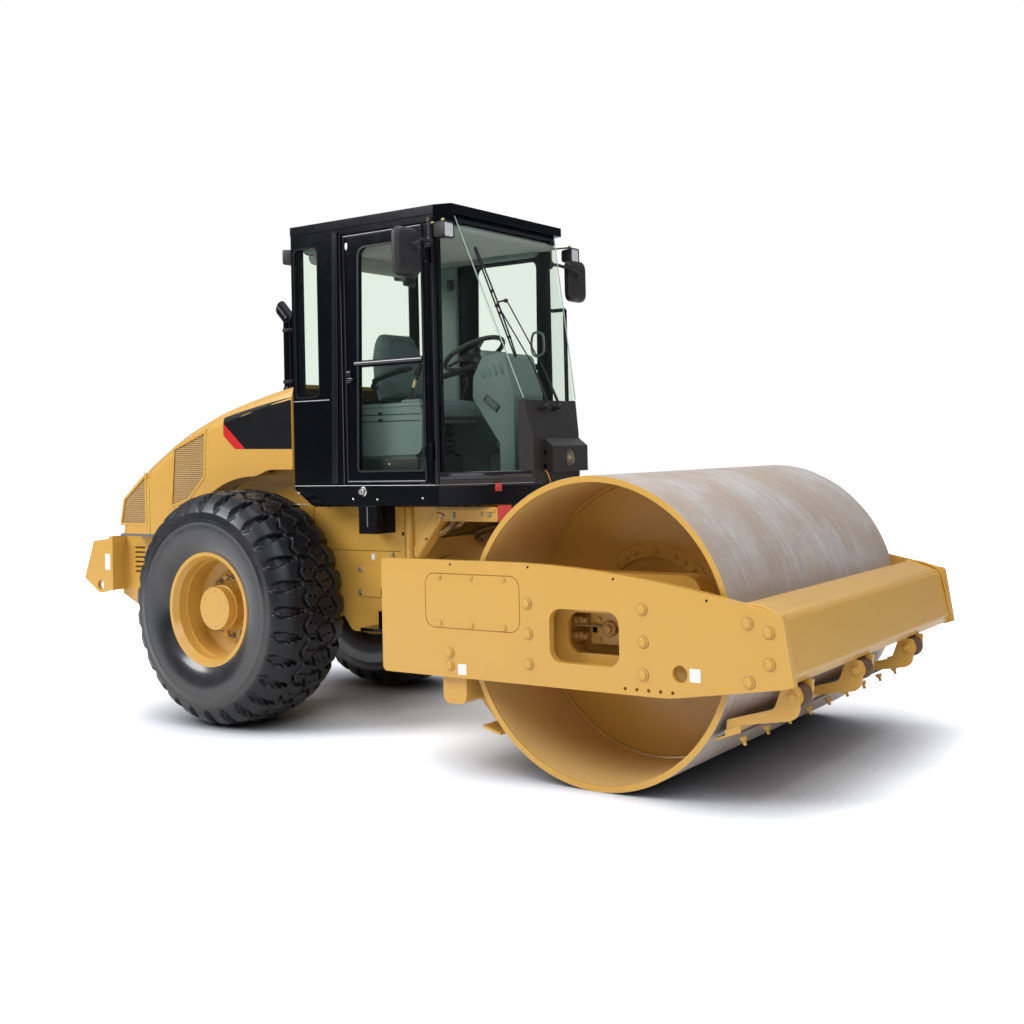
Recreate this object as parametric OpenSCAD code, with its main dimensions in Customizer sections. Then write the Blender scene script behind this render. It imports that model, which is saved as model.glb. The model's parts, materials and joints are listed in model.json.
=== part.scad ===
// Smooth drum roller with a closed cab: one vibrating drum in front, two tyres behind, steered at the waist.
// X points to the drum, Y to the machine's left, Z up; the ground is Z = 0.

/* [Overall] */
// Length from the tie-down ears to the front edge of the drum yoke
overall_len = 5850; // [5800:5:5900]
// Height of the cab roof above the ground
overall_h = 3110; // [3095:5:3125]

/* [Drum] */
// From the drum's axle to the front edge of the yoke
front_reach = 1090; // [1085:1:1095]
// Outer radius of the drum
drum_r = 767; // [762:1:767]
// Width of the drum
drum_w = 2134; // [2110:1:2134]
// Thickness of the rolled drum shell
shell_t = 30; // [25:1:35]
// Depth of each bulkhead behind the drum's rim
head_depth = 640; // [620:5:650]
// Thickness of a bulkhead
head_t = 28; // [20:1:32]

/* [Drum yoke] */
// Gap between the drum's rim and the side plates
drum_gap = 43; // [40:1:50]
// Thickness of the side plates
plate_t = 40; // [36:1:44]
// Height of the side plates' upper edge
plate_top = 1106; // [1100:1:1112]
// Height of their lower edge
plate_low = 503; // [498:1:508]

/* [Tyres] */
// From the wheels' axle back to the tips of the tie-down ears
rear_reach = 1867; // [1862:1:1872]
// Outer radius over the tread lugs
tyre_r = 731; // [725:1:731]
// Section width of a tyre
tyre_w = 587; // [570:1:590]
// Distance of a tyre's middle plane from the middle of the machine
track_half = 741; // [738:1:746]
// Radius of the rim where the tyre sits
rim_r = 330; // [328:1:332]

/* [Steering] */
// From the drum's axle back to the steering pin
pivot_back = 1480; // [1476:1:1484]
// Height of the oscillation shaft
hitch_z = 800; // [798:1:802]
// Radius of the oscillation shaft
swing_r = 120; // [110:1:125]
// Radius of the steering pin
pin_r = 50; // [45:1:52]
// Clearance of every turning fit, on the radius
fit_gap = 0.3; // [0.2:0.05:0.5]

/* [Cab] */
// Distance of the cab's side from the middle
cab_half = 591; // [588:1:594]
// Rear wall of the cab
cab_rear = -690; // [-694:1:-686]
// Front corner pillar
pillar_x = 480; // [476:1:484]
// Front panel of the cab below its crease
cab_front = 912; // [908:1:916]
// Lower edge of the windscreen
screen_low_x = 870; // [866:1:874]
// Distance of the front panel's edges from the middle
front_half = 241; // [237:1:245]
// Thickness of the cab's walls and doors
wall_t = 40; // [36:1:44]
// Height of the cab floor
floor_z = 1466; // [1464:1:1470]
// Thickness of the roof
roof_t = 56; // [50:1:62]

/* [Hood] */
// Distance of the hood's side from the middle
hood_half = 600; // [596:1:604]
// Lower edge of the hood
hood_low = 1154; // [1152:1:1158]
// Thickness of the hood's skin
hood_t = 24; // [20:1:30]

/* [Hidden] */

$fn = 72;
paint = [0.85, 0.67, 0.35];
black = [0.06, 0.06, 0.08];
grey = [0.35, 0.38, 0.36];
steel = [0.7, 0.66, 0.6];
rubber = [0.09, 0.09, 0.1];
glass = [0.7, 0.85, 0.78, 0.4];

front_x = overall_len / 2;
rear_x = -overall_len / 2;
drum_x = front_x - front_reach;
wheel_x = rear_x + rear_reach;
pivot_x = drum_x - pivot_back;
plate_in = drum_w / 2 + drum_gap;
half_w = plate_in + plate_t;
plate_rear = drum_x - 1297;
tail_x = rear_x + 285;
eave_z = overall_h - roof_t;
frame_y = 400;
frame_t = 25;
frame_top = 1125;
axle_z = tyre_r;
cross_x = drum_x - 935;
cross_t = 120;
door_x0 = -245;
door_x1 = 438;
door_hinge = [450, cab_half + 21];
hinge_pin_r = 8;
hinge_heights = [1640, eave_z - 268];
crease_z = 1760;
screen_low = 1973;
screen_top = eave_z - 8;
screen_top_x = 575;

// Points of a polygon whose corners are rounded; each corner is [x, y, radius]
function unit(v) = v / norm(v);
function cross2(a, b) = a[0] * b[1] - a[1] * b[0];
function corner_arc(a, b, c, r, steps) =
    let (u = unit([a[0] - b[0], a[1] - b[1]]),
         w = unit([c[0] - b[0], c[1] - b[1]]),
         half = acos(max(-1, min(1, u * w))) / 2,
         reach = r / tan(half),
         p = [b[0], b[1]] + u * reach,
         mid = [b[0], b[1]] + unit(u + w) * r / sin(half),
         turn = 180 - 2 * half,
         s = cross2(u, w) > 0 ? -1 : 1,
         a0 = atan2(p[1] - mid[1], p[0] - mid[0]))
    [for (i = [0 : steps]) mid + r * [cos(a0 + s * turn * i / steps), sin(a0 + s * turn * i / steps)]];
function rounded(pts, steps = 6) =
    let (n = len(pts))
    [for (i = [0 : n - 1])
        let (b = pts[i], arc = b[2] > 0
            ? corner_arc(pts[(i + n - 1) % n], b, pts[(i + 1) % n], b[2], steps)
            : [[b[0], b[1]]])
        for (q = arc) q];

// An outline drawn in X and Z, as a plate that fills Y from y0 to y1
module side_slab(y0, y1) {
    translate([0, y1, 0]) rotate([90, 0, 0]) linear_extrude(y1 - y0) children();
}
// The same shape on both sides of the machine
module both_sides() {
    children();
    mirror([0, 1, 0]) children();
}
// A cylinder along X, Y or Z between two places
module rod_x(x0, x1, r) {
    translate([x0, 0, 0]) rotate([0, 90, 0]) cylinder(r = r, h = x1 - x0);
}
module rod_y(y0, y1, r) {
    translate([0, y1, 0]) rotate([90, 0, 0]) cylinder(r = r, h = y1 - y0);
}
module block(x0, x1, y0, y1, z0, z1) {
    translate([x0, y0, z0]) cube([x1 - x0, y1 - y0, z1 - z0]);
}
// A solid of revolution about the Y axis; the profile is [radius, distance to the left]
module turned_y(profile) {
    rotate([-90, 0, 0]) rotate_extrude($fn = 84) polygon(profile);
}

// Rear frame
hinge_x = rear_x + 510;
hinge_z = hood_low + 26;
hinge_r = 12;
frame_outline = rounded([
    [tail_x, frame_top, 0], [40, frame_top, 0], [40, 566, 0], [-380, 566, 60], [wheel_x + 438, 890, 60],
    [wheel_x - 442, 890, 60], [wheel_x - 702, 600, 80], [rear_x + 535, 600, 40], [tail_x, 705, 0]]);
slot_rows = [0 : 5];
module frame_side() {
    side_slab(frame_y, frame_y + frame_t) difference() {
        polygon(frame_outline);
        for (i = slot_rows)
            translate([rear_x + 485, 870 + 34 * i]) hull() for (d = [-50, 50]) translate([d, 0]) circle(r = 8, $fn = 16);
    }
    side_slab(frame_y, frame_y + frame_t)
        polygon(rounded([[-540, frame_top, 0], [-540, 1340, 0], [66, 1340, 0], [66, 1031, 0], [40, 1031, 0],
            [40, frame_top, 0]]));
}
module frame_side_left() {
    color(paint) frame_side();
}
module frame_side_right() {
    color(paint) mirror([0, 1, 0]) frame_side();
}
module frame_front() {
    color(paint) {
        difference() {
            block(-60, 40, -frame_y, frame_y, 566, frame_top);
            translate([0, 0, hitch_z]) rod_x(-61, 41, swing_r + fit_gap);
        }
        both_sides() {
            translate([94, frame_y + 8, 1031]) cylinder(r = 28, h = 309);
            side_slab(frame_y - 26, frame_y) polygon(rounded([
                [40, 1031, 0], [150, 1031, 0], [340, 1262, 10], [760, 1262, 10], [760, 1340, 20], [40, 1340, 0]]));
        }
    }
}
ear_outline = rounded([
    [tail_x, 1108, 0], [rear_x + 110, 1090, 8], [rear_x, 818, 0], [rear_x + 180, 712, 60], [tail_x, 740, 0]]);
ear_y = 505;
ear_t = 35;
ear_hole = [rear_x + 183, 772];
ear_hole_r = 36;
module frame_rear() {
    color(paint) {
        both_sides() block(tail_x, tail_x + 40, frame_y + frame_t, ear_y + ear_t, 740, frame_top);
        block(tail_x, tail_x + 40, -frame_y, frame_y, 705, frame_top);
        both_sides() side_slab(ear_y, ear_y + ear_t) difference() {
            polygon(ear_outline);
            translate(ear_hole) circle(r = ear_hole_r);
        }
        both_sides() difference() {
            block(hinge_x - 25, hinge_x + 30, frame_y - 22, frame_y, frame_top - 60, hinge_z + 24);
            translate([hinge_x, 0, hinge_z]) rod_y(frame_y - 30, frame_y + 5, hinge_r + fit_gap);
        }
    }
}
module rear_axle() {
    color(paint) translate([wheel_x, 0, axle_z]) {
        intersection() {
            sphere(r = 210);
            cube([400, 300, 400], center = true);
        }
        both_sides() {
            rod_y(150, 440, 110);
            block(-120, 120, 330, 425, 0, 890 - axle_z);
            rod_y(440, 560, 165);
            rod_y(560, track_half + 90, 60);
        }
    }
}
module engine() {
    color(grey) {
        block(-2050, -760, -330, 330, 960, 1560);
        block(-2330, -2240, -370, 370, 760, 1420);
        block(-2240, -2050, -60, 60, 1000, 1200);
        both_sides() block(-2000, -1900, 330, frame_y, 970, 1030);
        both_sides() block(-900, -800, 330, frame_y, 970, 1030);
        both_sides() block(-2330, -2240, 370, frame_y, 1000, 1060);
    }
}

// Cab
cab_plan = [[cab_rear, -cab_half], [pillar_x, -cab_half], [cab_front, -front_half],
            [cab_front, front_half], [pillar_x, cab_half], [cab_rear, cab_half]];
front_turn = atan2(cab_half - front_half, cab_front - pillar_x);
front_len = norm([cab_front - pillar_x, cab_half - front_half]);
inner_front_half = front_half - wall_t * tan((90 - front_turn) / 2);
cab_plan_in = [[cab_rear + wall_t, -cab_half + wall_t], [pillar_x - wall_t * tan(front_turn / 2), -cab_half + wall_t],
               [cab_front - wall_t, -inner_front_half], [cab_front - wall_t, inner_front_half],
               [pillar_x - wall_t * tan(front_turn / 2), cab_half - wall_t], [cab_rear + wall_t, cab_half - wall_t]];
// Outline in X and Z of what lies ahead of the sloping windscreen, from the outer or inner face
screen_lean = (screen_low_x - screen_top_x) / (screen_top - screen_low);
module ahead_of_screen(back) {
    top = overall_h + 90;
    side_slab(-700, 700) polygon([[cab_front - back, crease_z], [screen_low_x - back, screen_low],
        [screen_low_x - back - (top - screen_low) * screen_lean, top], [1400, top], [1400, crease_z]]);
}
skirt_z = floor_z - 111;
module cab_floor() {
    color(black) {
        difference() {
            intersection() {
                translate([0, 0, skirt_z]) linear_extrude(floor_z - skirt_z) polygon(cab_plan);
                side_slab(-700, 700) polygon([[cab_rear, floor_z], [cab_rear, floor_z - 12], [-544, skirt_z],
                    [cab_front, skirt_z], [cab_front, floor_z]]);
            }
            translate([0, 0, skirt_z - 15]) linear_extrude(floor_z - skirt_z - 1)
                polygon([[-500, -cab_half + 12], [pillar_x - 8, -cab_half + 12], [cab_front - 14, -front_half + 4],
                    [cab_front - 14, front_half - 4], [pillar_x - 8, cab_half - 12], [-500, cab_half - 12]]);
        }
    }
}
rear_glass_x = -455;
window_top = eave_z - 88;
rear_quarter = rounded([[cab_rear + 25, 2025, 30], [rear_glass_x, 2025, 40], [rear_glass_x, window_top, 40],
    [cab_rear + 25, window_top, 30]]);
module cab_frame() {
    color(black) both_sides() for (z = hinge_heights) {
        translate([door_hinge[0], door_hinge[1], z - 20]) cylinder(r = hinge_pin_r, h = 100);
        for (e = [z - 20, z + 64]) {
            translate([door_hinge[0], door_hinge[1], e]) cylinder(r = 14, h = 16);
            block(door_hinge[0], door_hinge[0] + 14, cab_half, door_hinge[1], e, e + 16);
        }
    }
    color(black) difference() {
        translate([0, 0, floor_z]) linear_extrude(eave_z - floor_z) polygon(cab_plan);
        translate([0, 0, floor_z - 1]) linear_extrude(eave_z - floor_z - 40) polygon(cab_plan_in);
        // door openings
        both_sides() block(door_x0 - 6, door_x1 + 6, cab_half - wall_t - 5, cab_half + 5, 1484, eave_z - 38);
        // rear quarter openings
        both_sides() side_slab(cab_half - wall_t - 5, cab_half + 5) polygon(rear_quarter);
        // rear window
        block(cab_rear - 5, cab_rear + wall_t + 5, -cab_half + 70, cab_half - 70, 2025, window_top);
        // everything ahead of the corner pillars is glass or panel
        block(pillar_x + 8, 1000, -700, 700, floor_z - 5, eave_z - 60);
        ahead_of_screen(0);
    }
}
module cab_roof() {
    color(black) translate([0, 0, eave_z]) linear_extrude(overall_h - eave_z)
        polygon([[cab_rear, -cab_half - 6], [pillar_x + 8, -cab_half - 6], [600, 29 - cab_half], [600, cab_half - 29],
            [pillar_x + 8, cab_half + 6], [cab_rear, cab_half + 6]]);
}
glass_t = 8;
module cab_glass() {
    color(glass) {
        // front quarters, each flat from the corner pillar to the windscreen
        both_sides() intersection() {
            translate([pillar_x, cab_half, 0]) rotate([0, 0, -front_turn])
                translate([24, -glass_t - 4, 1512]) cube([front_len - 28, glass_t, eave_z]);
            difference() {
                block(0, 1400, 0, 800, 1500, eave_z - 62);
                ahead_of_screen(glass_t + 2);
                block(panel_x - 4, 1400, 0, 800, 1400, screen_low - 8);
            }
        }
        // windscreen, sloping back to the roof
        intersection() {
            translate([0, 0, screen_low - 6]) linear_extrude(eave_z - 60 - screen_low + 6) polygon(cab_plan);
            difference() {
                ahead_of_screen(glass_t);
                ahead_of_screen(0);
            }
        }
        // rear window and rear quarters
        block(cab_rear + 12, cab_rear + 12 + glass_t, -cab_half + 70, cab_half - 70, 2025, window_top);
        both_sides() side_slab(cab_half - 12 - glass_t, cab_half - 12) polygon(rear_quarter);
    }
}
panel_x = cab_front - 66;
module cab_front_panel() {
    color(black) {
        difference() {
            intersection() {
                translate([0, 0, floor_z]) linear_extrude(screen_low - 8 - floor_z) polygon(cab_plan);
                union() {
                    block(panel_x, cab_front, -600, 600, floor_z, screen_low - 8);
                    block(pillar_x + 8.2, cab_front, -600, 600, floor_z, 1510);
                }
            }
            translate([0, 0, floor_z - 1]) linear_extrude(800) polygon(cab_plan_in);
            ahead_of_screen(0);
        }
        // air box with a sloping lid and a round vent
        difference() {
            side_slab(-130, 241) polygon([[cab_front, 1535], [cab_front + 62, 1535], [cab_front + 62, 1688],
                [cab_front, 1735]]);
            translate([0, 60, 1618]) rod_x(cab_front + 50, cab_front + 63, 52);
        }
    }
}
seat_z = 1855;
module seat() {
    color(grey) {
        block(-330, 60, -170, 170, floor_z, seat_z);
        side_slab(-240, 240) polygon(rounded([[-330, seat_z, 20], [200, seat_z, 30], [215, seat_z + 130, 40],
            [-330, seat_z + 120, 20]]));
        side_slab(-235, 235) polygon(rounded([[-345, seat_z + 120.2, 20], [-200, seat_z + 129, 20],
            [-285, seat_z + 595, 60], [-425, seat_z + 575, 50]]));
    }
}
module side_console() {
    color(grey) both_sides() {
        side_slab(290, 450) polygon(rounded([[-330, 1655, 30], [240, 1655, 60], [250, 1965, 60], [-330, 1950, 40]]));
        block(-300, 180, 300, 440, floor_z, 1655);
    }
}
module dash_console() {
    color(grey) {
        side_slab(-150, 150) polygon(rounded([[600, floor_z, 0], [705, floor_z, 0], [712, 2000, 60],
            [640, 2268, 50], [475, 2240, 40], [405, 2120, 50], [399, 1985, 60], [600, 1715, 30]]));
        translate(wheel_hub) rotate([0, -28, 0]) translate([0, 0, -240]) cylinder(r = 24, h = 224.7);
    }
}
wheel_hub = [301, 0, 2279];
module steering_wheel() {
    color(black) translate(wheel_hub) rotate([0, -28, 0]) {
        rotate_extrude($fn = 64) translate([195, 0]) circle(r = 15, $fn = 12);
        block(-195, 195, -18, 18, -12, 4);
        cylinder(r = 45, h = 30, center = true);
    }
}
mirror_c = [512, cab_half + 264, eave_z - 254];
mirror_arm_z = mirror_c[2] + 95;
mirror_arm_x = 471;
mirror_arm_y = cab_half + 59;
module mirrors() {
    color(black) both_sides() {
        translate(mirror_c) rotate([90, 0, 90]) linear_extrude(50, center = true)
            polygon(rounded([[-103, -140, 35], [103, -140, 35], [103, 140, 35], [-103, 140, 35]]));
        translate([mirror_arm_x, 0, mirror_arm_z]) rod_y(cab_half, mirror_arm_y, 12);
        hull() {
            translate([mirror_arm_x, mirror_arm_y, mirror_arm_z]) sphere(r = 12, $fn = 16);
            translate([mirror_c[0], mirror_c[1] - 65, mirror_arm_z]) sphere(r = 12, $fn = 16);
        }
    }
}
lamp_z = eave_z - 164;
lamp_y = cab_half + 9;
module work_lights() {
    // front pair beside the corner pillars, rear pair behind the cab
    color(black) both_sides() {
        block(456, 484, cab_half, lamp_y, eave_z - 98, eave_z - 18);
        block(456, 560, lamp_y, lamp_y + 30, eave_z - 98, eave_z - 68);
        block(560, 650, lamp_y, lamp_y + 95, lamp_z, lamp_z + 95);
        block(cab_rear - 90, cab_rear - 10, 480, 570, lamp_z, lamp_z + 95);
        block(cab_rear - 30, cab_rear, 510, 540, lamp_z + 95, eave_z - 18);
    }
}
rail_low = 1520;
rail_top = eave_z - 468;
rail_y = cab_half + 49;
module handrail() {
    color(black) {
        for (z = [rail_low, rail_top]) {
            translate([466, 0, z]) rod_y(cab_half, rail_y, 13);
            translate([0, rail_y, z]) rod_x(466, 560, 13);
        }
        translate([560, rail_y, rail_low]) cylinder(r = 13, h = rail_top - rail_low);
    }
}
module tool_box() {
    color(black) block(-152, -5, -cab_half, -frame_y - frame_t, 1185, skirt_z);
}
module steps() {
    color(black) both_sides() {
        block(-150, 30, frame_y + frame_t, 600, 600, 620);
        block(-150, 30, frame_y + frame_t, frame_y + frame_t + 12, 620, 700);
    }
}

// Hood
hood_profile = rounded([[-400, 700, 0], [-400, 2175, 0], [-928, 2081, 4000], [-1366, 1980, 2300],
    [rear_x + 1164, 1832, 1900], [rear_x + 797, 1627, 1800], [rear_x + 568, 1461, 180], [rear_x + 490, 1211, 0],
    [rear_x + 365, 700, 0]], 3);
// The same outline moved inwards by d, as an offset of straight edges
function line_meet(p, u, q, w) = p + u * cross2(q - p, w) / cross2(u, w);
function moved_in(pts, d) =
    let (n = len(pts))
    [for (i = [0 : n - 1])
        let (a = pts[(i + n - 1) % n], b = pts[i], c = pts[(i + 1) % n],
             u = unit(b - a), w = unit(c - b), nu = [-u[1], u[0]], nw = [-w[1], w[0]])
        abs(cross2(u, w)) < 0.001 ? b + d * nu : line_meet(b + d * nu, u, b + d * nw, w)];
edge_r = 90;
hood_front = -700;
hood_arch_r = 815;
// A full body of the hood's outline with rounded upper edges, open ended below and in front
module hood_skin(d) {
    hull() for (a = [0, 30, 60, 90]) {
        y = hood_half - d - edge_r * (1 - sin(a));
        side_slab(-y, y) polygon(moved_in(hood_profile, d + edge_r * (1 - cos(a))));
    }
}
mesh_fields = [
    [[rear_x + 553, 1389], [rear_x + 783, 1556], [rear_x + 782, 1222], [rear_x + 515, 1224]],
    [[rear_x + 1091, 1732], [rear_x + 1408, 1841], [rear_x + 1389, 1542], [rear_x + 1223, 1390],
     [rear_x + 1057, 1350]]];
liner_t = 18;
liner_y = frame_y + 1;
// What the wheel needs under the hood, larger all round by grow, from the distance y0 outwards
module wheel_arch(grow, y0) {
    translate([wheel_x, 0, axle_z]) rod_y(y0, 700, hood_arch_r + grow);
    block(wheel_x, hood_front + 100, y0, 700, hood_low - 150, 1585 + grow);
}
module hood() {
    color(paint) {
        difference() {
            intersection() {
                hood_skin(0);
                block(rear_x, hood_front, -700, 700, hood_low, 2300);
                union() {
                    difference() {
                        block(rear_x, 0, -700, 700, hood_low, 2300);
                        hood_skin(hood_t);
                    }
                    // wheel housings
                    both_sides() wheel_arch(liner_t, liner_y);
                }
            }
            both_sides() wheel_arch(0, frame_y + frame_t);
            both_sides() for (f = mesh_fields) side_slab(hood_half - hood_t - 5, hood_half + 5) polygon(f);
            both_sides() block(hinge_x - 75, hinge_x + 36, frame_y - 26, frame_y + 8, 1100, hinge_z + 70);
        }
        // hinge arms and pins at the rear
        both_sides() {
            block(hinge_x - 30, hinge_x + 40, frame_y - 60, frame_y - 26, hood_low, hinge_z + 30);
            translate([hinge_x, 0, hinge_z]) rod_y(frame_y - 50, frame_y + 4, hinge_r);
        }
    }
}
module hood_grilles() {
    color([0.5, 0.4, 0.2]) both_sides() for (f = mesh_fields) side_slab(hood_half - 12, hood_half - 4)
        polygon(moved_in(f, -0.2));
}
exhaust_x = -1330;
exhaust_lean = 44;
exhaust_r = 46;
exhaust_bend_z = 2620;
// Stack with a ball joint of radius ball and an upper end that leans back
module exhaust_pipe(r, ball, length) {
    translate([0, 0, 2148]) cylinder(r = r, h = exhaust_bend_z - 2148);
    translate([0, 0, exhaust_bend_z]) sphere(r = ball);
    translate([0, 0, exhaust_bend_z]) rotate([0, -exhaust_lean, 0]) cylinder(r = r, h = length);
}
module exhaust() {
    color(black) translate([exhaust_x, 0, 0]) difference() {
        union() {
            translate([0, 0, 1950]) cylinder(r1 = 105, r2 = 48, h = 200);
            exhaust_pipe(exhaust_r, exhaust_r + 3, 200);
        }
        exhaust_pipe(exhaust_r - 6, exhaust_r - 4, 210);
        // slanting mouth, turned to the rear
        translate([-85, 0, exhaust_bend_z + 90]) rotate([0, -72, 0]) translate([-200, -100, 0]) cube([400, 200, 200]);
        translate([-exhaust_x, 0, 0]) hood_skin(-0.2);
    }
}

// Doors
door_y0 = cab_half - wall_t;
pane_top = eave_z - 128;
door_pane = rounded([[-150, 1560, 20], [380, 1560, 20], [400, pane_top, 60], [-120, pane_top, 60]]);
module door() {
    difference() {
        side_slab(door_y0, cab_half - 2) polygon([[door_x0, 1490], [door_x1, 1490],
            [door_x1, eave_z - 44], [door_x0, eave_z - 44]]);
        side_slab(door_y0 - 5, cab_half + 5) polygon(door_pane);
    }
    block(-150, 400, door_y0, cab_half - 2, 2195, 2235);
    for (z = hinge_heights) difference() {
        union() {
            translate([door_hinge[0], door_hinge[1], z]) cylinder(r = 14, h = 60);
            block(door_hinge[0] - 60, door_hinge[0], cab_half + 5, cab_half + 12, z, z + 60);
            block(door_hinge[0] - 60, door_hinge[0] - 20, cab_half - 8, cab_half + 6, z, z + 60);
        }
        translate([door_hinge[0], door_hinge[1], z - 1]) cylinder(r = hinge_pin_r + fit_gap, h = 62);
    }
}
module door_left() {
    color(black) door();
}
module door_right() {
    color(black) mirror([0, 1, 0]) door();
}
module door_glass() {
    difference() {
        side_slab(cab_half - 24, cab_half - 16) polygon(door_pane);
        block(-160, 410, door_y0 - 5, cab_half + 5, 2194.8, 2235.2);
    }
}
module door_left_glass() {
    color(glass) door_glass();
}
module door_right_glass() {
    color(glass) mirror([0, 1, 0]) door_glass();
}

// Wheels
tyre_profile = rounded([
    [rim_r + 1, -229, 0], [rim_r + 30, -231, 0], [rim_r + 75, -262, 20], [500, -tyre_w / 2, 120], [634, -tyre_w / 2, 90],
    [tyre_r - 10, -214, 70], [tyre_r, -70, 0], [tyre_r, 70, 0], [tyre_r - 10, 214, 70], [634, tyre_w / 2, 90],
    [500, tyre_w / 2, 120], [rim_r + 75, 262, 20],
    [rim_r + 30, 231, 0], [rim_r + 1, 229, 0]], 2);
lug_count = 28;
lug_gap = 46;
module tyre() {
    translate([wheel_x, track_half, axle_z]) difference() {
        turned_y(tyre_profile);
        // gaps between the lugs of both shoulders, and a zigzag of grooves in the middle
        for (i = [0 : lug_count - 1]) rotate([0, i * 360 / lug_count, 0]) {
            both_sides() translate([0, 130, tyre_r - 24]) rotate([-28, 0, 0])
                translate([-lug_gap / 2, 0, 0]) cube([lug_gap, 200, 60]);
            rotate([0, 90 / lug_count * 2, 0]) translate([-12, -90, tyre_r - 22]) cube([24, 180, 40]);
        }
    }
}
module tyre_left() {
    color(rubber) tyre();
}
module tyre_right() {
    color(rubber) mirror([0, 1, 0]) tyre();
}
wheel_profile = [
    [60 + fit_gap, -175], [220, -175], [220, -20], [300, 10], [300, -225], [rim_r + 22, -250], [rim_r + 24, -236],
    [rim_r + 0.7, -232], [rim_r + 0.7, 232], [rim_r + 24, 236], [rim_r + 24, 249], [rim_r, 249], [308, 215],
    [300, 40], [225, 14], [225, 34], [150, 40], [132, 60], [132, 193], [0, 193], [0, 110], [60 + fit_gap, 110]];
module wheel() {
    translate([wheel_x, track_half, axle_z]) {
        turned_y(wheel_profile);
        for (i = [0 : 9]) rotate([0, 36 * i, 0]) translate([185, 0, 0]) rod_y(30, 60, 17);
    }
}
module wheel_left() {
    color(paint) wheel();
}
module wheel_right() {
    color(paint) mirror([0, 1, 0]) wheel();
}

// Hitch between the frames
fork_low = 690;
fork_top = 910;
fork_t = 30;
jack_y = 250;
jack_x = 120;
jack_r = 45;
eye_x = 760;
jack_pin_r = 25;
module hitch() {
    color(paint) {
        translate([0, 0, hitch_z]) rod_x(-90, 46, swing_r);
        translate([0, 0, hitch_z]) rod_x(-100, -68, 160);
        translate([0, 0, hitch_z]) rod_x(46, 76, 210);
        for (z = [fork_low - fork_t, fork_top]) translate([0, 0, z]) linear_extrude(fork_t)
            polygon(rounded([[60, -200, 0], [240, -120, 30], [pivot_x + 80, -75, 60], [pivot_x + 80, 75, 60],
                [240, 120, 30], [60, 200, 0]]));
        block(76, 220, -90, 90, fork_low, fork_top);
        translate([pivot_x, 0, 602]) cylinder(r = pin_r, h = 381);
        both_sides() for (z = [hitch_z - 72, hitch_z + 52])
            block(76, jack_x + 50, 90, jack_y + 45, z, z + 20);
        both_sides() translate([jack_x, jack_y, hitch_z - 72]) cylinder(r = jack_pin_r, h = 144);
    }
}
module jack_barrel() {
    translate([jack_x, jack_y, hitch_z]) difference() {
        union() {
            cylinder(r = 40, h = 100, center = true);
            rod_x(30, 400, jack_r);
        }
        cylinder(r = jack_pin_r + fit_gap, h = 110, center = true);
        rod_x(60, 401, 25 + fit_gap);
    }
}
module jack_rod() {
    translate([eye_x, jack_y, hitch_z]) difference() {
        union() {
            rod_x(-425, 0, 25);
            cylinder(r = 42, h = 60, center = true);
        }
        cylinder(r = 28, h = 100, center = true);
    }
}
module cylinder_left() {
    color(paint) jack_barrel();
}
module cylinder_right() {
    color(paint) mirror([0, 1, 0]) jack_barrel();
}
module rod_left() {
    color(steel) jack_rod();
}
module rod_right() {
    color(steel) mirror([0, 1, 0]) jack_rod();
}

// Drum yoke
top_curve_x = drum_x - 497;
top_curve_r = 6180;
plate_nose = [front_x, 606];
top_arc = [for (x = [front_x - 79 : -84 : top_curve_x]) [x, plate_top - top_curve_r
    + sqrt(top_curve_r * top_curve_r - (x - top_curve_x) * (x - top_curve_x))]];
plate_outline = rounded(concat([for (p = top_arc) [p[0], p[1], 0]], [[plate_rear, plate_top, 30],
    [plate_rear, plate_low, 30], [drum_x + 465, plate_low, 900], [front_x - 41, 593, 22],
    [plate_nose[0], plate_nose[1], 0], [front_x - 45, 916, 24]]));
window_c = [drum_x, 757];
plate_hole = [drum_x + 525, 621];
plate_hole_r = 40;
// A rectangle with its middle at c, half its sides at h, and rounded corners
module rounded_block(c, h, r) {
    polygon(rounded([[c[0] - h[0], c[1] - h[1], r], [c[0] + h[0], c[1] - h[1], r],
        [c[0] + h[0], c[1] + h[1], r], [c[0] - h[0], c[1] + h[1], r]]));
}
access_c = [drum_x - 685, 896];
access_half = [308, 143];
seam_w = 5;
seam_depth = 6;
small_holes = [for (i = [0 : 4]) [drum_x + 228 + 64 * i, 531]];
module side_plate() {
    difference() {
        side_slab(plate_in, half_w) difference() {
            polygon(plate_outline);
            translate(window_c) rounded_block([0, 0], [201, 131], 65);
            translate(plate_hole) circle(r = plate_hole_r);
            for (h = small_holes) translate(h) circle(r = 9, $fn = 24);
        }
        // seam round the access cover
        side_slab(half_w - seam_depth, half_w + 1) difference() {
            rounded_block(access_c, access_half, 62);
            rounded_block(access_c, [access_half[0] - seam_w, access_half[1] - seam_w], 62 - seam_w);
        }
    }
}
module side_plate_left() {
    color(paint) side_plate();
}
module side_plate_right() {
    color(paint) mirror([0, 1, 0]) side_plate();
}
foot_low = 357;
module yoke_crossmember() {
    color(paint) {
        difference() {
            block(cross_x, cross_x + cross_t, -plate_in, plate_in, plate_low, 1000);
            // way for the hoses to the drum's motors
            translate([0, 0, hitch_z]) rod_x(cross_x - 1, cross_x + cross_t + 1, 90);
        }
        // foot below the plates, rounded at its ends
        intersection() {
            block(cross_x + 20, cross_x + 175, -plate_in, plate_in, foot_low, plate_low);
            side_slab(-plate_in, plate_in) rounded_block([cross_x + 97, foot_low + 120], [78, 120], 45);
        }
    }
}
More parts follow.
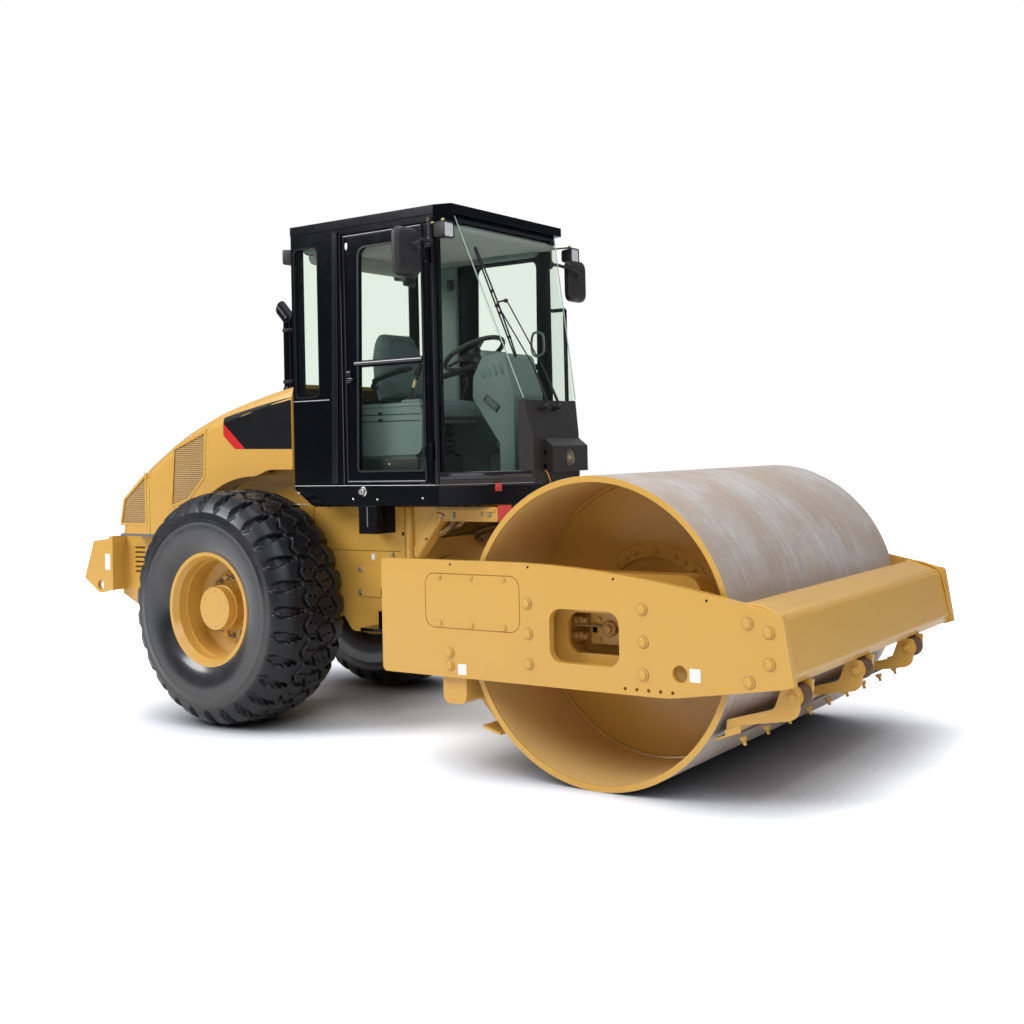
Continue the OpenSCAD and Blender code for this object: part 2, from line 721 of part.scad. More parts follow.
module yoke_arms() {
    color(paint) {
        for (z = [600, fork_top + fork_t + 5]) translate([0, 0, z]) difference() {
            linear_extrude(38) polygon(rounded([[pivot_x - 75, -75, 60], [cross_x - 200, -180, 0], [cross_x, -320, 0],
                [cross_x, 320, 0], [cross_x - 200, 180, 0], [pivot_x - 75, 75, 60]]));
            translate([pivot_x, 0, -1]) cylinder(r = pin_r + fit_gap, h = 40);
        }
        both_sides() for (z = [hitch_z - 52, hitch_z + 36])
            translate([0, 0, z]) linear_extrude(16) polygon(rounded([[cross_x, 170, 0], [cross_x, 330, 0],
                [eye_x - 55, 310, 40], [eye_x - 55, 190, 40]]));
    }
}
beam_low = 600;
module front_beam() {
    color(paint) side_slab(-plate_in, plate_in) polygon(rounded([[front_x - 270, 952, 12], [front_x - 215, 950, 200],
        [front_x - 69, 902, 55], [front_x - 17, 640, 34], [front_x - 40, beam_low, 10], [front_x - 235, beam_low, 10],
        [front_x - 270, 640, 20]]));
}

// Scrapers, hung in rubber bushes under the beam and behind the drum
lug_t = 24;
bush_c = [front_x - 59, 538];
bush_r = 42;
bush_len = 96;
arm_t = 20;
blade_half = drum_w / 2 - 27;
lug_places = [-920, -160, 600];
blade_edge = [drum_x + 640, 319];
blade_back = [drum_x + 772, 366];
module scrapers() {
    color(paint) {
        for (y = lug_places) {
            side_slab(y, y + lug_t) polygon(rounded([[bush_c[0] - 48, beam_low, 0], [bush_c[0] - 34, bush_c[1] - 46, 30],
                [bush_c[0] + 34, bush_c[1] - 46, 30], [bush_c[0] + 46, beam_low, 0]]));
            translate([bush_c[0], 0, bush_c[1]]) rod_y(y - bush_len, y, bush_r);
            side_slab(y - bush_len - arm_t, y - bush_len) polygon(rounded([
                [bush_c[0] + 40, bush_c[1] + 50, 30], [bush_c[0] - 48, bush_c[1] + 52, 10],
                [bush_c[0] - 92, bush_c[1] - 60, 40], [blade_back[0] - 70, blade_back[1] + 44, 10],
                [blade_back[0] - 76, blade_back[1] - 2, 0], [blade_back[0], blade_back[1] + 25, 0],
                [bush_c[0] + 20, bush_c[1] - 100, 60]]));
        }
        // blade in its two clamping strips
        side_slab(-blade_half, blade_half) polygon([blade_edge, [blade_edge[0] + 3, blade_edge[1] - 9],
            [blade_back[0], blade_back[1] - 9], [blade_back[0] - 3, blade_back[1] + 24],
            [blade_edge[0] + 48, blade_edge[1] + 41], [blade_edge[0] + 53, blade_edge[1] + 19]]);
        // rear blade, hung from the foot of the crossmember
        side_slab(-blade_half, blade_half) polygon([[rear_blade[0], rear_blade[1]], [rear_blade[0] + 115, 205],
            [rear_blade[0] + 118, 217], [rear_blade[0] + 3, rear_blade[1] + 12]]);
        for (y = [-900, -300, 300, 900]) side_slab(y - 20, y + 20)
            polygon([[cross_x + 110, foot_low], [cross_x + 160, foot_low], [rear_blade[0] + 30, rear_blade[1] + 4],
                [rear_blade[0] + 3, rear_blade[1] + 12]]);
    }
}
rear_blade = [drum_x - 715, 235];

// Drum, its two bulkheads and what carries them
head_in = drum_w / 2 - head_depth;
stub_r = 100;
hub_y = head_in + 180;
pan_y = 800;
pan_t = 24;
pan_rim = 95;
pan_c = [drum_x, 778];
pan_half = [472, 258];
carrier_y = plate_in - 115;
carrier_t = 24;
carrier_half = [405, 232];
mount_r = 46;
// Places of the rubber mounts between the carrier and each side plate
mount_places = [for (dx = [-330, 332], z = [604, 755, 906]) [drum_x + dx, z]];
motor_half = [117, 79];
module drum_carriers() {
    color(paint) both_sides() {
        // pan that faces the bulkhead
        difference() {
            side_slab(pan_y - pan_rim, pan_y + pan_t) rounded_block(pan_c, pan_half, 90);
            side_slab(pan_y - pan_rim - 1, pan_y) rounded_block(pan_c, [pan_half[0] - 20, pan_half[1] - 20], 70);
        }
        // neck between the pan and the outer plate, open in the middle
        side_slab(pan_y + pan_t, carrier_y) difference() {
            rounded_block(window_c, [230, 150], 60);
            rounded_block(window_c, [205, 125], 40);
        }
        side_slab(carrier_y, carrier_y + carrier_t) difference() {
            rounded_block(window_c, carrier_half, 60);
            rounded_block(window_c, [180, 100], 60);
        }
        for (p = mount_places) translate([p[0], 0, p[1]]) rod_y(carrier_y + carrier_t, plate_in, mount_r);
        // drive motor and the stub that the drum turns on
        side_slab(pan_y + pan_t, 905) rounded_block([drum_x, drum_r], motor_half, 12);
        translate([drum_x, 0, drum_r]) {
            rod_y(head_in + 60, hub_y + 20, stub_r);
            rod_y(hub_y + 20, pan_y, 175);
        }
    }
}
module drum_shell() {
    color(steel) translate([drum_x, 0, drum_r]) turned_y([[drum_r - shell_t, -drum_w / 2], [drum_r, -drum_w / 2],
        [drum_r, drum_w / 2], [drum_r - shell_t, drum_w / 2]]);
}
ring_r = [322, 392];
module drum_heads() {
    // bulkhead with a bolted ring, a dished cover inside it and the hub
    color(paint) translate([drum_x, 0, drum_r]) both_sides() turned_y([[0, head_in - 24], [250, head_in - 24],
        [ring_r[0] - 10, head_in], [drum_r - shell_t, head_in], [drum_r - shell_t, head_in + head_t],
        [ring_r[1], head_in + head_t], [ring_r[1], head_in + head_t + 15], [ring_r[0], head_in + head_t + 15],
        [ring_r[0], head_in + head_t], [250, head_in + 6], [180, head_in + 6], [165, hub_y],
        [stub_r + fit_gap, hub_y], [stub_r + fit_gap, head_in + 55], [0, head_in + 55]]);
}

frame_side_left();
frame_side_right();
frame_front();
frame_rear();
rear_axle();
engine();
cab_floor();
cab_frame();
cab_roof();
cab_glass();
cab_front_panel();
seat();
side_console();
dash_console();
steering_wheel();
mirrors();
work_lights();
handrail();
tool_box();
steps();
hood();
hood_grilles();
exhaust();
door_left();
door_left_glass();
door_right();
door_right_glass();
tyre_left();
wheel_left();
tyre_right();
wheel_right();
hitch();
cylinder_left();
rod_left();
cylinder_right();
rod_right();
side_plate_left();
side_plate_right();
yoke_crossmember();
yoke_arms();
front_beam();
scrapers();
drum_carriers();
drum_shell();
drum_heads();
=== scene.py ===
"""Smooth drum roller: finishes, fine pieces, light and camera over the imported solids. Metres, X to the drum, Z up."""
import json
import math
import bpy
import mathutils
import numpy as np
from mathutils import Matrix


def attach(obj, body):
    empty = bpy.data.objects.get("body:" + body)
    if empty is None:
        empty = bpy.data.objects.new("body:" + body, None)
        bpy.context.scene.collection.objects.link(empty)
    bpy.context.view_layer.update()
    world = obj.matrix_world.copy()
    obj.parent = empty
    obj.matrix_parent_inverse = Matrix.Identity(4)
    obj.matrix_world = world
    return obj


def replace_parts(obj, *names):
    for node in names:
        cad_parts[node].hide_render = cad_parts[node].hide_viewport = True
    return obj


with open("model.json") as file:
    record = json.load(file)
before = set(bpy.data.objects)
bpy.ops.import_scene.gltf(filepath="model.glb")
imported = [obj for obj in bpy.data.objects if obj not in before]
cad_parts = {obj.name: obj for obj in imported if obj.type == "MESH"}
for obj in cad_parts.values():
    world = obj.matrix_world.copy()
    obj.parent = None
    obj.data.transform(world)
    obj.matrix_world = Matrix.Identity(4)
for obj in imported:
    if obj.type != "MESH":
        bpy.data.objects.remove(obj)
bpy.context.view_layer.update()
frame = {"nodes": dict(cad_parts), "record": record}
NODES = frame["nodes"]

# Main places of the machine
DRUM = (1.835, 0.0, 0.767)
WHEEL_X, TRACK, TYRE_R, RIM_R, ARCH_R = -1.058, 0.741, 0.731, 0.330, 0.811
PLATE_Y, CAB_Y, FRAME_Y = 1.150, 0.591, 0.425


# Shader expressions
class Sock:
    """A shader socket or number; arithmetic on it adds Math nodes to its tree."""

    def __init__(self, tree, value):
        self.tree, self.value = tree, value

    def math(self, kind, *others, clamp=False):
        """A Math node of this kind on this value and the others."""
        node = self.tree.nodes.new("ShaderNodeMath")
        node.operation, node.use_clamp = kind, clamp
        for slot, item in zip(node.inputs, (self,) + others):
            feed(self.tree, slot, item)
        return Sock(self.tree, node.outputs[0])

    def __add__(self, o):
        return self.math("ADD", o)

    def __sub__(self, o):
        return self.math("SUBTRACT", o)

    def __mul__(self, o):
        return self.math("MULTIPLY", o)

    def __truediv__(self, o):
        return self.math("DIVIDE", o)

    def __rsub__(self, o):
        return Sock(self.tree, o).math("SUBTRACT", self)

    __radd__ = __add__
    __rmul__ = __mul__

    def step(self, low, high):
        """0 under low, 1 over high, and a smooth ramp between."""
        node = self.tree.nodes.new("ShaderNodeMapRange")
        node.interpolation_type = "SMOOTHSTEP"
        feed(self.tree, node.inputs["Value"], self)
        node.inputs["From Min"].default_value = low
        node.inputs["From Max"].default_value = high
        return Sock(self.tree, node.outputs["Result"])


def feed(tree, socket, item):
    """Links a socket to an item, or writes the item there as its value."""
    value = item.value if isinstance(item, Sock) else item
    if hasattr(value, "is_output"):
        tree.links.new(value, socket)
    elif isinstance(value, tuple) and len(value) == 3 and socket.type == "RGBA":
        socket.default_value = (*value, 1.0)
    else:
        socket.default_value = value


class Shader:
    """One material's node tree, with a method for any node and a few common patterns."""

    def __init__(self, name):
        self.material = bpy.data.materials.new(name)
        self.material.use_nodes = True
        self.tree = self.material.node_tree
        self.tree.nodes.clear()
        self.place = Sock(self.tree, self.tree.nodes.new("ShaderNodeTexCoord").outputs["Object"])

    def node(self, kind, settings=None, out=0, **inputs):
        """Adds a node: settings first, then the values or links of its sockets; gives the chosen output."""
        made = self.tree.nodes.new(kind)
        for key, value in (settings or {}).items():
            setattr(made, key, value)
        for key, value in inputs.items():
            feed(self.tree, made.inputs[key.replace("_", " ")], value)
        return Sock(self.tree, made.outputs[out])

    def axis(self, which, vector=None):
        """One of X, Y and Z of a vector, the object's own place by default."""
        return self.node("ShaderNodeSeparateXYZ", out="XYZ".index(which), Vector=vector or self.place)

    def stretched(self, x, y, z):
        """The object's place scaled along each axis."""
        return self.node("ShaderNodeMapping", Vector=self.place, Scale=(x, y, z))

    def noise(self, scale, detail=3.0, rough=0.55, vector=None):
        """Noise from 0 to 1 at this scale per metre."""
        return self.node("ShaderNodeTexNoise", Vector=vector or self.place, Scale=scale, Detail=detail,
                         Roughness=rough)

    def mix(self, amount, low, high):
        """The colour low at 0 and high at 1."""
        made = self.tree.nodes.new("ShaderNodeMix")
        made.data_type = "RGBA"
        feed(self.tree, made.inputs[0], amount)
        feed(self.tree, made.inputs[6], low)
        feed(self.tree, made.inputs[7], high)
        return Sock(self.tree, made.outputs[2])

    def bump(self, height, depth, strength=1.0):
        """A normal from a height, depth in metres."""
        return self.node("ShaderNodeBump", Height=height, Distance=depth, Strength=strength)

    def blend(self, amount, low, high):
        """Ends the material in the shader low at 0 and high at 1."""
        made = self.tree.nodes.new("ShaderNodeMixShader")
        feed(self.tree, made.inputs[0], amount)
        self.tree.links.new(low.value, made.inputs[1])
        self.tree.links.new(high.value, made.inputs[2])
        out = self.tree.nodes.new("ShaderNodeOutputMaterial")
        self.tree.links.new(made.outputs[0], out.inputs["Surface"])
        return self.material

    def finish(self, color, rough, metal=0.0, normal=None, coat=0.0, coat_rough=0.05, specular=0.5, **more):
        """Ends the material in a Principled shader."""
        inputs = dict(Base_Color=color, Roughness=rough, Metallic=metal, Coat_Weight=coat,
                      Coat_Roughness=coat_rough,
                      Specular_IOR_Level=specular, **more)
        if normal is not None:
            inputs["Normal"] = normal
        shader = self.node("ShaderNodeBsdfPrincipled", **inputs)
        out = self.tree.nodes.new("ShaderNodeOutputMaterial")
        self.tree.links.new(shader.value, out.inputs["Surface"])
        return self.material


def yellow_tone(s):
    """Colour and dust mask of the construction yellow: soft blotches, and dust low down."""
    blotch = s.noise(1.3, 4.0)
    dust = s.noise(9.0, 6.0, 0.7).step(0.52, 0.78)
    low = 1 - s.axis("Z").step(0.35, 1.1)
    tone = s.mix(blotch, (0.575, 0.318, 0.058), (0.625, 0.352, 0.068))
    return s.mix(dust * low * 0.35, tone, (0.50, 0.33, 0.15)), dust


def yellow_paint():
    """Gloss construction yellow with faint orange peel."""
    s = Shader("yellow_paint")
    tone, dust = yellow_tone(s)
    return s.finish(tone, 0.30 + dust * 0.12, normal=s.bump(s.noise(260.0, 2.0), 0.0006, 0.2), coat=0.3,
                    coat_rough=0.12, specular=0.4)


def black_paint():
    """Gloss black with a touch of blue and fine dust."""
    s = Shader("black_paint")
    dust = s.noise(14.0, 6.0, 0.7).step(0.45, 0.85)
    tone = s.mix(dust * 0.3, (0.0022, 0.0024, 0.0045), (0.009, 0.009, 0.011))
    return s.finish(tone, 0.13 + dust * 0.10, normal=s.bump(s.noise(210.0, 2.0), 0.0004, 0.15), coat=0.05,
                    coat_rough=0.05, specular=0.12)


def gloss_black():
    """Bright gloss black of rounded trim, which catches thin highlights."""
    s = Shader("gloss_black")
    return s.finish(s.mix(s.noise(9.0, 4.0), (0.003, 0.003, 0.005), (0.006, 0.006, 0.008)),
                    0.10 + s.noise(40.0) * 0.05,
                    coat=0.6, coat_rough=0.04, specular=0.5)


def panel_paint():
    """Satin brown-black of the cab's front panel."""
    s = Shader("panel_paint")
    grain = s.noise(380.0, 3.0)
    return s.finish(s.mix(s.noise(5.0), (0.019, 0.017, 0.016), (0.029, 0.026, 0.025)), 0.38 + grain * 0.08,
                    normal=s.bump(grain, 0.0005, 0.3), specular=0.4)


def satin_black():
    """Satin black of brackets and housings."""
    s = Shader("satin_black")
    grain = s.noise(420.0, 3.0)
    tone = s.mix(s.noise(8.0, 4.0), (0.010, 0.010, 0.0115), (0.020, 0.020, 0.022))
    return s.finish(tone, 0.40 + grain * 0.1, normal=s.bump(grain, 0.0006, 0.3), specular=0.35)


def tyre_rubber():
    """Dressed tyre rubber, half gloss, with a brown bloom on the wall."""
    s = Shader("tyre_rubber")
    cloud = s.noise(5.0, 6.0, 0.65)
    across = (s.axis("X") - WHEEL_X).math("POWER", 2.0) + (s.axis("Z") - TYRE_R).math("POWER", 2.0)
    wall = 1 - across.math("SQRT").step(0.56, 0.64)
    tone = s.mix(cloud.step(0.35, 0.75) * 0.7 * wall, (0.0028, 0.0034, 0.0055), (0.026, 0.021, 0.020))
    return s.finish(tone, 0.30 + cloud * 0.2 - wall * 0.10, normal=s.bump(s.noise(180.0, 4.0), 0.0012, 0.4),
                    specular=0.42,
                    coat=wall * 0.85, coat_rough=0.17)


def drum_skin():
    """Rolled and ground steel on the drum's face, with lanes along its travel; inside it, yellow paint mixed towards a
    paler yellow, painted light that brightens the dim inside.
    """
    s = Shader("drum_skin")
    radius = ((s.axis("X") - DRUM[0]).math("POWER", 2.0) + (s.axis("Z") - DRUM[2]).math("POWER",
            2.0)).math("SQRT")
    face = radius.step(DRUM[2] - 0.0025, DRUM[2] - 0.0015)
    lanes = s.noise(46.0, 6.0, 0.75, s.stretched(0.05, 1.0, 0.05))
    stain = s.noise(2.6, 6.0, 0.62)
    steel = s.mix(stain.step(0.38, 0.66), (0.58, 0.475, 0.385), (0.685, 0.635, 0.60))
    steel = s.mix(lanes.step(0.38, 0.68) * 0.5, steel, (0.42, 0.36, 0.315))
    steel = s.mix(s.noise(7.0, 5.0, 0.7, s.stretched(0.4, 1.6, 0.4)).step(0.52, 0.78) * 0.35, steel,
                  (0.42, 0.29, 0.19))
    steel = s.mix(s.noise(60.0, 4.0, 0.6, s.stretched(0.5, 1.0, 0.5)).step(0.60, 0.72) * 0.45, steel,
                  (0.40, 0.24, 0.13))
    tone = yellow_tone(s)[0]
    bump = s.bump(lanes * face, 0.0012, 0.35)
    # inside the shell (face 0) the yellow is mixed 70 % towards a paler yellow: painted light, a lighter copy of the
    # paint for the dim inside of the drum
    return s.finish(s.mix(face, s.mix(0.7, tone, (0.80, 0.56, 0.24)), steel),
                    0.32 + face * 0.10 + lanes * face * 0.15, metal=face * 0.62, normal=bump)


def bright_steel():
    """Bright steel of pins, rods and screws."""
    s = Shader("bright_steel")
    return s.finish(s.mix(s.noise(30.0), (0.55, 0.55, 0.56), (0.72, 0.72, 0.72)), 0.18 + s.noise(60.0) * 0.12,
                    metal=1.0)


def brass_bolt():
    """Yellow zinc on bolts and fittings."""
    s = Shader("brass_bolt")
    return s.finish(s.mix(s.noise(50.0), (0.60, 0.45, 0.18), (0.80, 0.68, 0.36)), 0.25 + s.noise(80.0) * 0.1,
                    metal=0.9)


def tinted_glass():
    """Pale green cab glass: almost clear, with a clean reflection."""
    s = Shader("tinted_glass")
    clear = s.node("ShaderNodeBsdfTransparent", Color=(0.955, 0.985, 0.953))
    gloss = s.node("ShaderNodeBsdfPrincipled", Base_Color=(0.10, 0.14, 0.12),
                   Roughness=0.02 + s.noise(3.0) * 0.02,
                   Specular_IOR_Level=0.8)
    front = 1 - s.node("ShaderNodeNewGeometry", out=6)
    rim = s.node("ShaderNodeFresnel", IOR=1.45)
    return s.blend(rim * front * 0.8 + 0.006, clear, gloss)


def grey_plastic():
    """Moulded grey-green trim with a fine grain."""
    s = Shader("grey_plastic")
    grain = s.noise(700.0, 2.0)
    tone = s.mix(s.noise(6.0), (0.105, 0.145, 0.145), (0.135, 0.178, 0.175))
    return s.finish(tone, 0.5 + grain * 0.1, normal=s.bump(grain, 0.0008, 0.35))


def seat_cloth():
    """Woven dark grey-green seat cloth, lighter flecks between crossing threads."""
    s = Shader("seat_cloth")
    weave = (s.axis("Y") * 2400.0).math("SINE") * ((s.axis("X") + s.axis("Z")) * 2400.0).math("SINE")
    fleck = s.noise(900.0, 2.0)
    tone = s.mix(fleck, (0.095, 0.130, 0.134), (0.155, 0.195, 0.200))
    return s.finish(tone, 0.85 + fleck * 0.1, normal=s.bump(weave * 0.5 + fleck, 0.0012, 0.5), specular=0.25)


def headlining():
    """Light grey cab lining, a soft felt."""
    s = Shader("headlining")
    felt = s.noise(500.0, 4.0, 0.7)
    return s.finish(s.mix(s.noise(5.0), (0.34, 0.36, 0.35), (0.42, 0.44, 0.43)), 0.85 + felt * 0.1,
                    normal=s.bump(felt, 0.001, 0.4), specular=0.2)


def cast_grey():
    """Painted castings of the engine and axle."""
    s = Shader("cast_grey")
    grain = s.noise(120.0, 5.0, 0.7)
    tone = s.mix(s.noise(5.0), (0.045, 0.045, 0.043), (0.085, 0.08, 0.078))
    return s.finish(tone, 0.55 + grain * 0.1, normal=s.bump(grain, 0.002, 0.5))


def brown_rubber():
    """Scraper bushes: dark brown, dusty."""
    s = Shader("brown_rubber")
    dust = s.noise(22.0, 6.0, 0.7)
    return s.finish(s.mix(dust, (0.06, 0.025, 0.010), (0.14, 0.065, 0.030)), 0.5 + dust * 0.2,
                    normal=s.bump(dust, 0.002, 0.4))


def hose_rubber():
    """Black hydraulic hose with a fine ribbed wrap and yellow overspray."""
    s = Shader("hose_rubber")
    spray = s.noise(11.0, 4.0, 0.6)
    return s.finish(s.mix(spray.step(0.36, 0.52), (0.05, 0.034, 0.020), (0.34, 0.200, 0.065)),
                    0.5 + spray * 0.1,
                    normal=s.bump(s.noise(300.0), 0.001, 0.4))


def perforated():
    """Pierced sheet: rows of round holes, every other row moved half a pitch, each hole painted dark as painted shade
    of the space behind it.
    """
    s = Shader("perforated")
    pitch, rise = 0.0150, 0.0130

    def holes(shift):
        """Distance from the nearest hole centre of one of the two row sets."""
        a = ((s.axis("X") + shift * pitch * 0.5) / pitch).math("FRACT") - 0.5
        b = ((s.axis("Z") + shift * rise) / (2 * rise)).math("FRACT") - 0.5
        return ((a * pitch).math("POWER", 2.0) + (b * 2 * rise).math("POWER", 2.0)).math("SQRT")

    near = holes(0.0).math("MINIMUM", holes(1.0))
    sheet = near.step(0.0042, 0.0052)
    tone = s.mix(s.noise(3.0), (0.47, 0.27, 0.085), (0.56, 0.33, 0.115))
    # the sheet's tone, and near-black brown in each hole: painted shade of the space seen through the holes
    return s.finish(s.mix(sheet, (0.035, 0.022, 0.012), tone), 0.45 + sheet * 0.1,
                    normal=s.bump(sheet, 0.002, 0.6))


def dull(name, low, high, rough=0.5, scale=20.0, metal=0.0, specular=0.5, coat=0.0):
    """A finish of one colour with slight cloud and grain."""
    s = Shader(name)
    cloud = s.noise(scale, 4.0)
    return s.finish(s.mix(cloud, low, high), rough + cloud * 0.08, metal=metal,
                    normal=s.bump(s.noise(scale * 20, 2.0), 0.0005, 0.2), specular=specular, coat=coat)


def lamp_glass():
    """Fluted lamp glass over a bright reflector, lighter on each flute's crest as a painted glint."""
    s = Shader("lamp_glass")
    flute_and_glint = (s.axis("Y") * 900.0).math("SINE") * 0.5 + 0.5
    # lighter where the flutes crest: painted glints along the flutes; the same bands also set the roughness and the
    # fluted bump
    tone = s.mix(flute_and_glint, (0.62, 0.64, 0.66), (0.92, 0.93, 0.95))
    return s.finish(tone, 0.08 + flute_and_glint * 0.1, metal=0.35, normal=s.bump(flute_and_glint, 0.001, 0.5), coat=0.6)


PAINT = {
    "yellow_paint": yellow_paint(), "black_paint": black_paint(), "tyre_rubber": tyre_rubber(),
    "rolled_steel": drum_skin(), "chrome_rod": bright_steel(), "tinted_glass": tinted_glass(),
    "grey_plastic": grey_plastic(), "cast_grey": cast_grey(), "brown_rubber": brown_rubber(),
    "black_plastic": satin_black(), "gloss_black": gloss_black(), "panel_paint": panel_paint(),
    "seat_fabric": seat_cloth(), "brass": brass_bolt(),
    "headlining": headlining(), "hose": hose_rubber(), "perforated": perforated(), "lamp_glass": lamp_glass(),
    "mirror_glass": dull("mirror_glass", (0.55, 0.58, 0.60), (0.62, 0.65, 0.66), 0.04, 3.0, metal=1.0),
    "white_plate": dull("white_plate", (0.72, 0.72, 0.70), (0.82, 0.82, 0.80), 0.35, 30.0),
    "red_paint": dull("red_paint", (0.38, 0.018, 0.012), (0.52, 0.028, 0.02), 0.35, 12.0, coat=0.2),
    "red_lens": dull("red_lens", (0.42, 0.01, 0.008), (0.55, 0.02, 0.012), 0.12, 12.0, coat=0.6),
    "stripe_black": dull("stripe_black", (0.004, 0.004, 0.005), (0.008, 0.008, 0.009), 0.16, 8.0, specular=0.4),
    "stripe_red": dull("stripe_red", (0.52, 0.012, 0.015), (0.60, 0.02, 0.02), 0.2, 8.0),
    # near-black for joint lines and for painted shade: dark patches laid where holes, grooves and recesses lie in shade
    "joint_and_shade_dark": dull("joint_and_shade_dark", (0.006, 0.005, 0.005), (0.012, 0.010, 0.009), 0.8, 30.0, specular=0.1),
    # dark brown for joint lines, and for the painted shade rings round the side plates' bolts
    "seam": dull("seam", (0.14, 0.07, 0.02), (0.20, 0.10, 0.03), 0.6, 40.0, specular=0.2),
    # grey of the rubber seals; also the painted highlight line on the tool box
    "seal_grey": dull("seal_grey", (0.10, 0.10, 0.115), (0.16, 0.16, 0.18), 0.5, 25.0),
    "floor_mat": dull("floor_mat", (0.012, 0.012, 0.013), (0.022, 0.022, 0.023), 0.8, 60.0, specular=0.2),
    "cable_orange": dull("cable_orange", (0.75, 0.30, 0.02), (0.85, 0.38, 0.04), 0.4, 40.0),
    "mirror_shell": dull("mirror_shell", (0.013, 0.012, 0.013), (0.022, 0.020, 0.021), 0.42, 60.0,
                         specular=0.4),
    "glass_edge": dull("glass_edge", (0.33, 0.42, 0.37), (0.45, 0.55, 0.50), 0.15, 20.0),
    "cast_yellow": dull("cast_yellow", (0.42, 0.23, 0.06), (0.60, 0.36, 0.12), 0.45, 30.0, metal=0.3),
    "satin_nut": dull("satin_nut", (0.35, 0.30, 0.22), (0.50, 0.44, 0.34), 0.35, 40.0, metal=0.85),
    "blade_steel": dull("blade_steel", (0.10, 0.075, 0.055), (0.22, 0.17, 0.13), 0.45, 14.0, metal=0.6),
}
finish_of = {part["node"]: part["material_slot"] for part in frame["record"]["subparts"]}
finish_of.update(hood_grilles="perforated", cab_front_panel="panel_paint")
for name, thing in NODES.items():
    thing.data.materials.clear()
    thing.data.materials.append(PAINT[finish_of[name]])


SOFT_EDGE = 0.003
SOFT_ANGLE = math.radians(35)


def soften(names):
    """Breaks the sharp edges of CAD nodes, so that they catch the light; the nodes' own meshes stay as they are."""
    for name in names.split():
        weld = NODES[name].modifiers.new("weld", "WELD")
        weld.merge_threshold = 0.00002
        bevel = NODES[name].modifiers.new("bevel", "BEVEL")
        bevel.width, bevel.segments, bevel.limit_method = SOFT_EDGE, 2, "ANGLE"
        bevel.angle_limit, bevel.use_clamp_overlap, bevel.harden_normals = SOFT_ANGLE, True, True


soften("side_plate_left side_plate_right front_beam yoke_crossmember cab_frame cab_roof cab_floor cab_front_panel "
       "frame_front frame_rear frame_side_left frame_side_right tool_box steps dash_console side_console")


# Surfaces
def grid_faces(nu, nv, wrap_u=False, wrap_v=False):
    """Quads of a grid whose point (i, j) is number i * nv + j."""
    i = np.arange(nu if wrap_u else nu - 1)[:, None]
    j = np.arange(nv if wrap_v else nv - 1)[None, :]
    i2, j2 = (i + 1) % nu, (j + 1) % nv
    return np.stack([i * nv + j, i2 * nv + j, i2 * nv + j2, i * nv + j2], -1).reshape(-1, 4)


def volume(points, faces):
    """Signed volume of a closed shell: a sixth of the triple products over each face's fan of triangles."""
    total = 0.0
    for face in faces:
        a = points[face[:, :1]]
        b, c = points[face[:, 1:-1]], points[face[:, 2:]]
        total += float((np.cross(b, c) * a).sum()) / 6
    return total


class Solid:
    """Points and faces of one piece, gathered from several surfaces."""

    def __init__(self):
        self.points, self.loops, self.sizes, self.count = [], [], [], 0

    def add(self, points, faces):
        """Adds one closed shell: points (n, 3) and arrays of faces; a shell that points inwards is turned round."""
        points = np.asarray(points, dtype=float).reshape(-1, 3)
        faces = [np.atleast_2d(np.asarray(face)) for face in (faces if isinstance(faces, list) else [faces])]
        if volume(points, faces) < 0:
            faces = [face[:, ::-1] for face in faces]
        for face in faces:
            self.loops.append((face + self.count).ravel())
            self.sizes.append(np.full(len(face), face.shape[1]))
        self.points.append(points)
        self.count += len(points)

    def mesh(self, name):
        """The gathered shells as one Blender mesh."""
        mesh = bpy.data.meshes.new(name)
        points = np.concatenate(self.points)
        loops = np.concatenate(self.loops).astype(np.int32)
        sizes = np.concatenate(self.sizes).astype(np.int32)
        mesh.vertices.add(len(points))
        mesh.vertices.foreach_set("co", points.ravel())
        mesh.loops.add(len(loops))
        mesh.loops.foreach_set("vertex_index", loops)
        mesh.polygons.add(len(sizes))
        mesh.polygons.foreach_set("loop_start", np.concatenate([[0], np.cumsum(sizes)[:-1]]).astype(np.int32))
        mesh.polygons.foreach_set("loop_total", sizes)
        mesh.update(calc_edges=True)
        mesh.validate()
        return mesh

    def piece(self, name, paint, body, slot=None, smooth=35.0, stands_for=()):
        """Makes the Blender object, painted, riding on its body."""
        mesh = self.mesh(name)
        thing = bpy.data.objects.new(name, mesh)
        bpy.context.collection.objects.link(thing)
        mesh.materials.append(PAINT[paint])
        mesh.shade_smooth()
        mesh.set_sharp_from_angle(angle=math.radians(smooth))
        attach(thing, body)
        if stands_for:
            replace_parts(thing, *stands_for)
        return thing


def axes_of(direction):
    """Two unit vectors across a direction, and the direction itself, as rows of a right-handed frame."""
    w = np.asarray(direction, dtype=float)
    w = w / np.linalg.norm(w)
    helper = np.array([0.0, 0.0, 1.0]) if abs(w[2]) < 0.9 else np.array([1.0, 0.0, 0.0])
    u = np.cross(helper, w)
    u /= np.linalg.norm(u)
    return np.stack([u, np.cross(w, u), w])


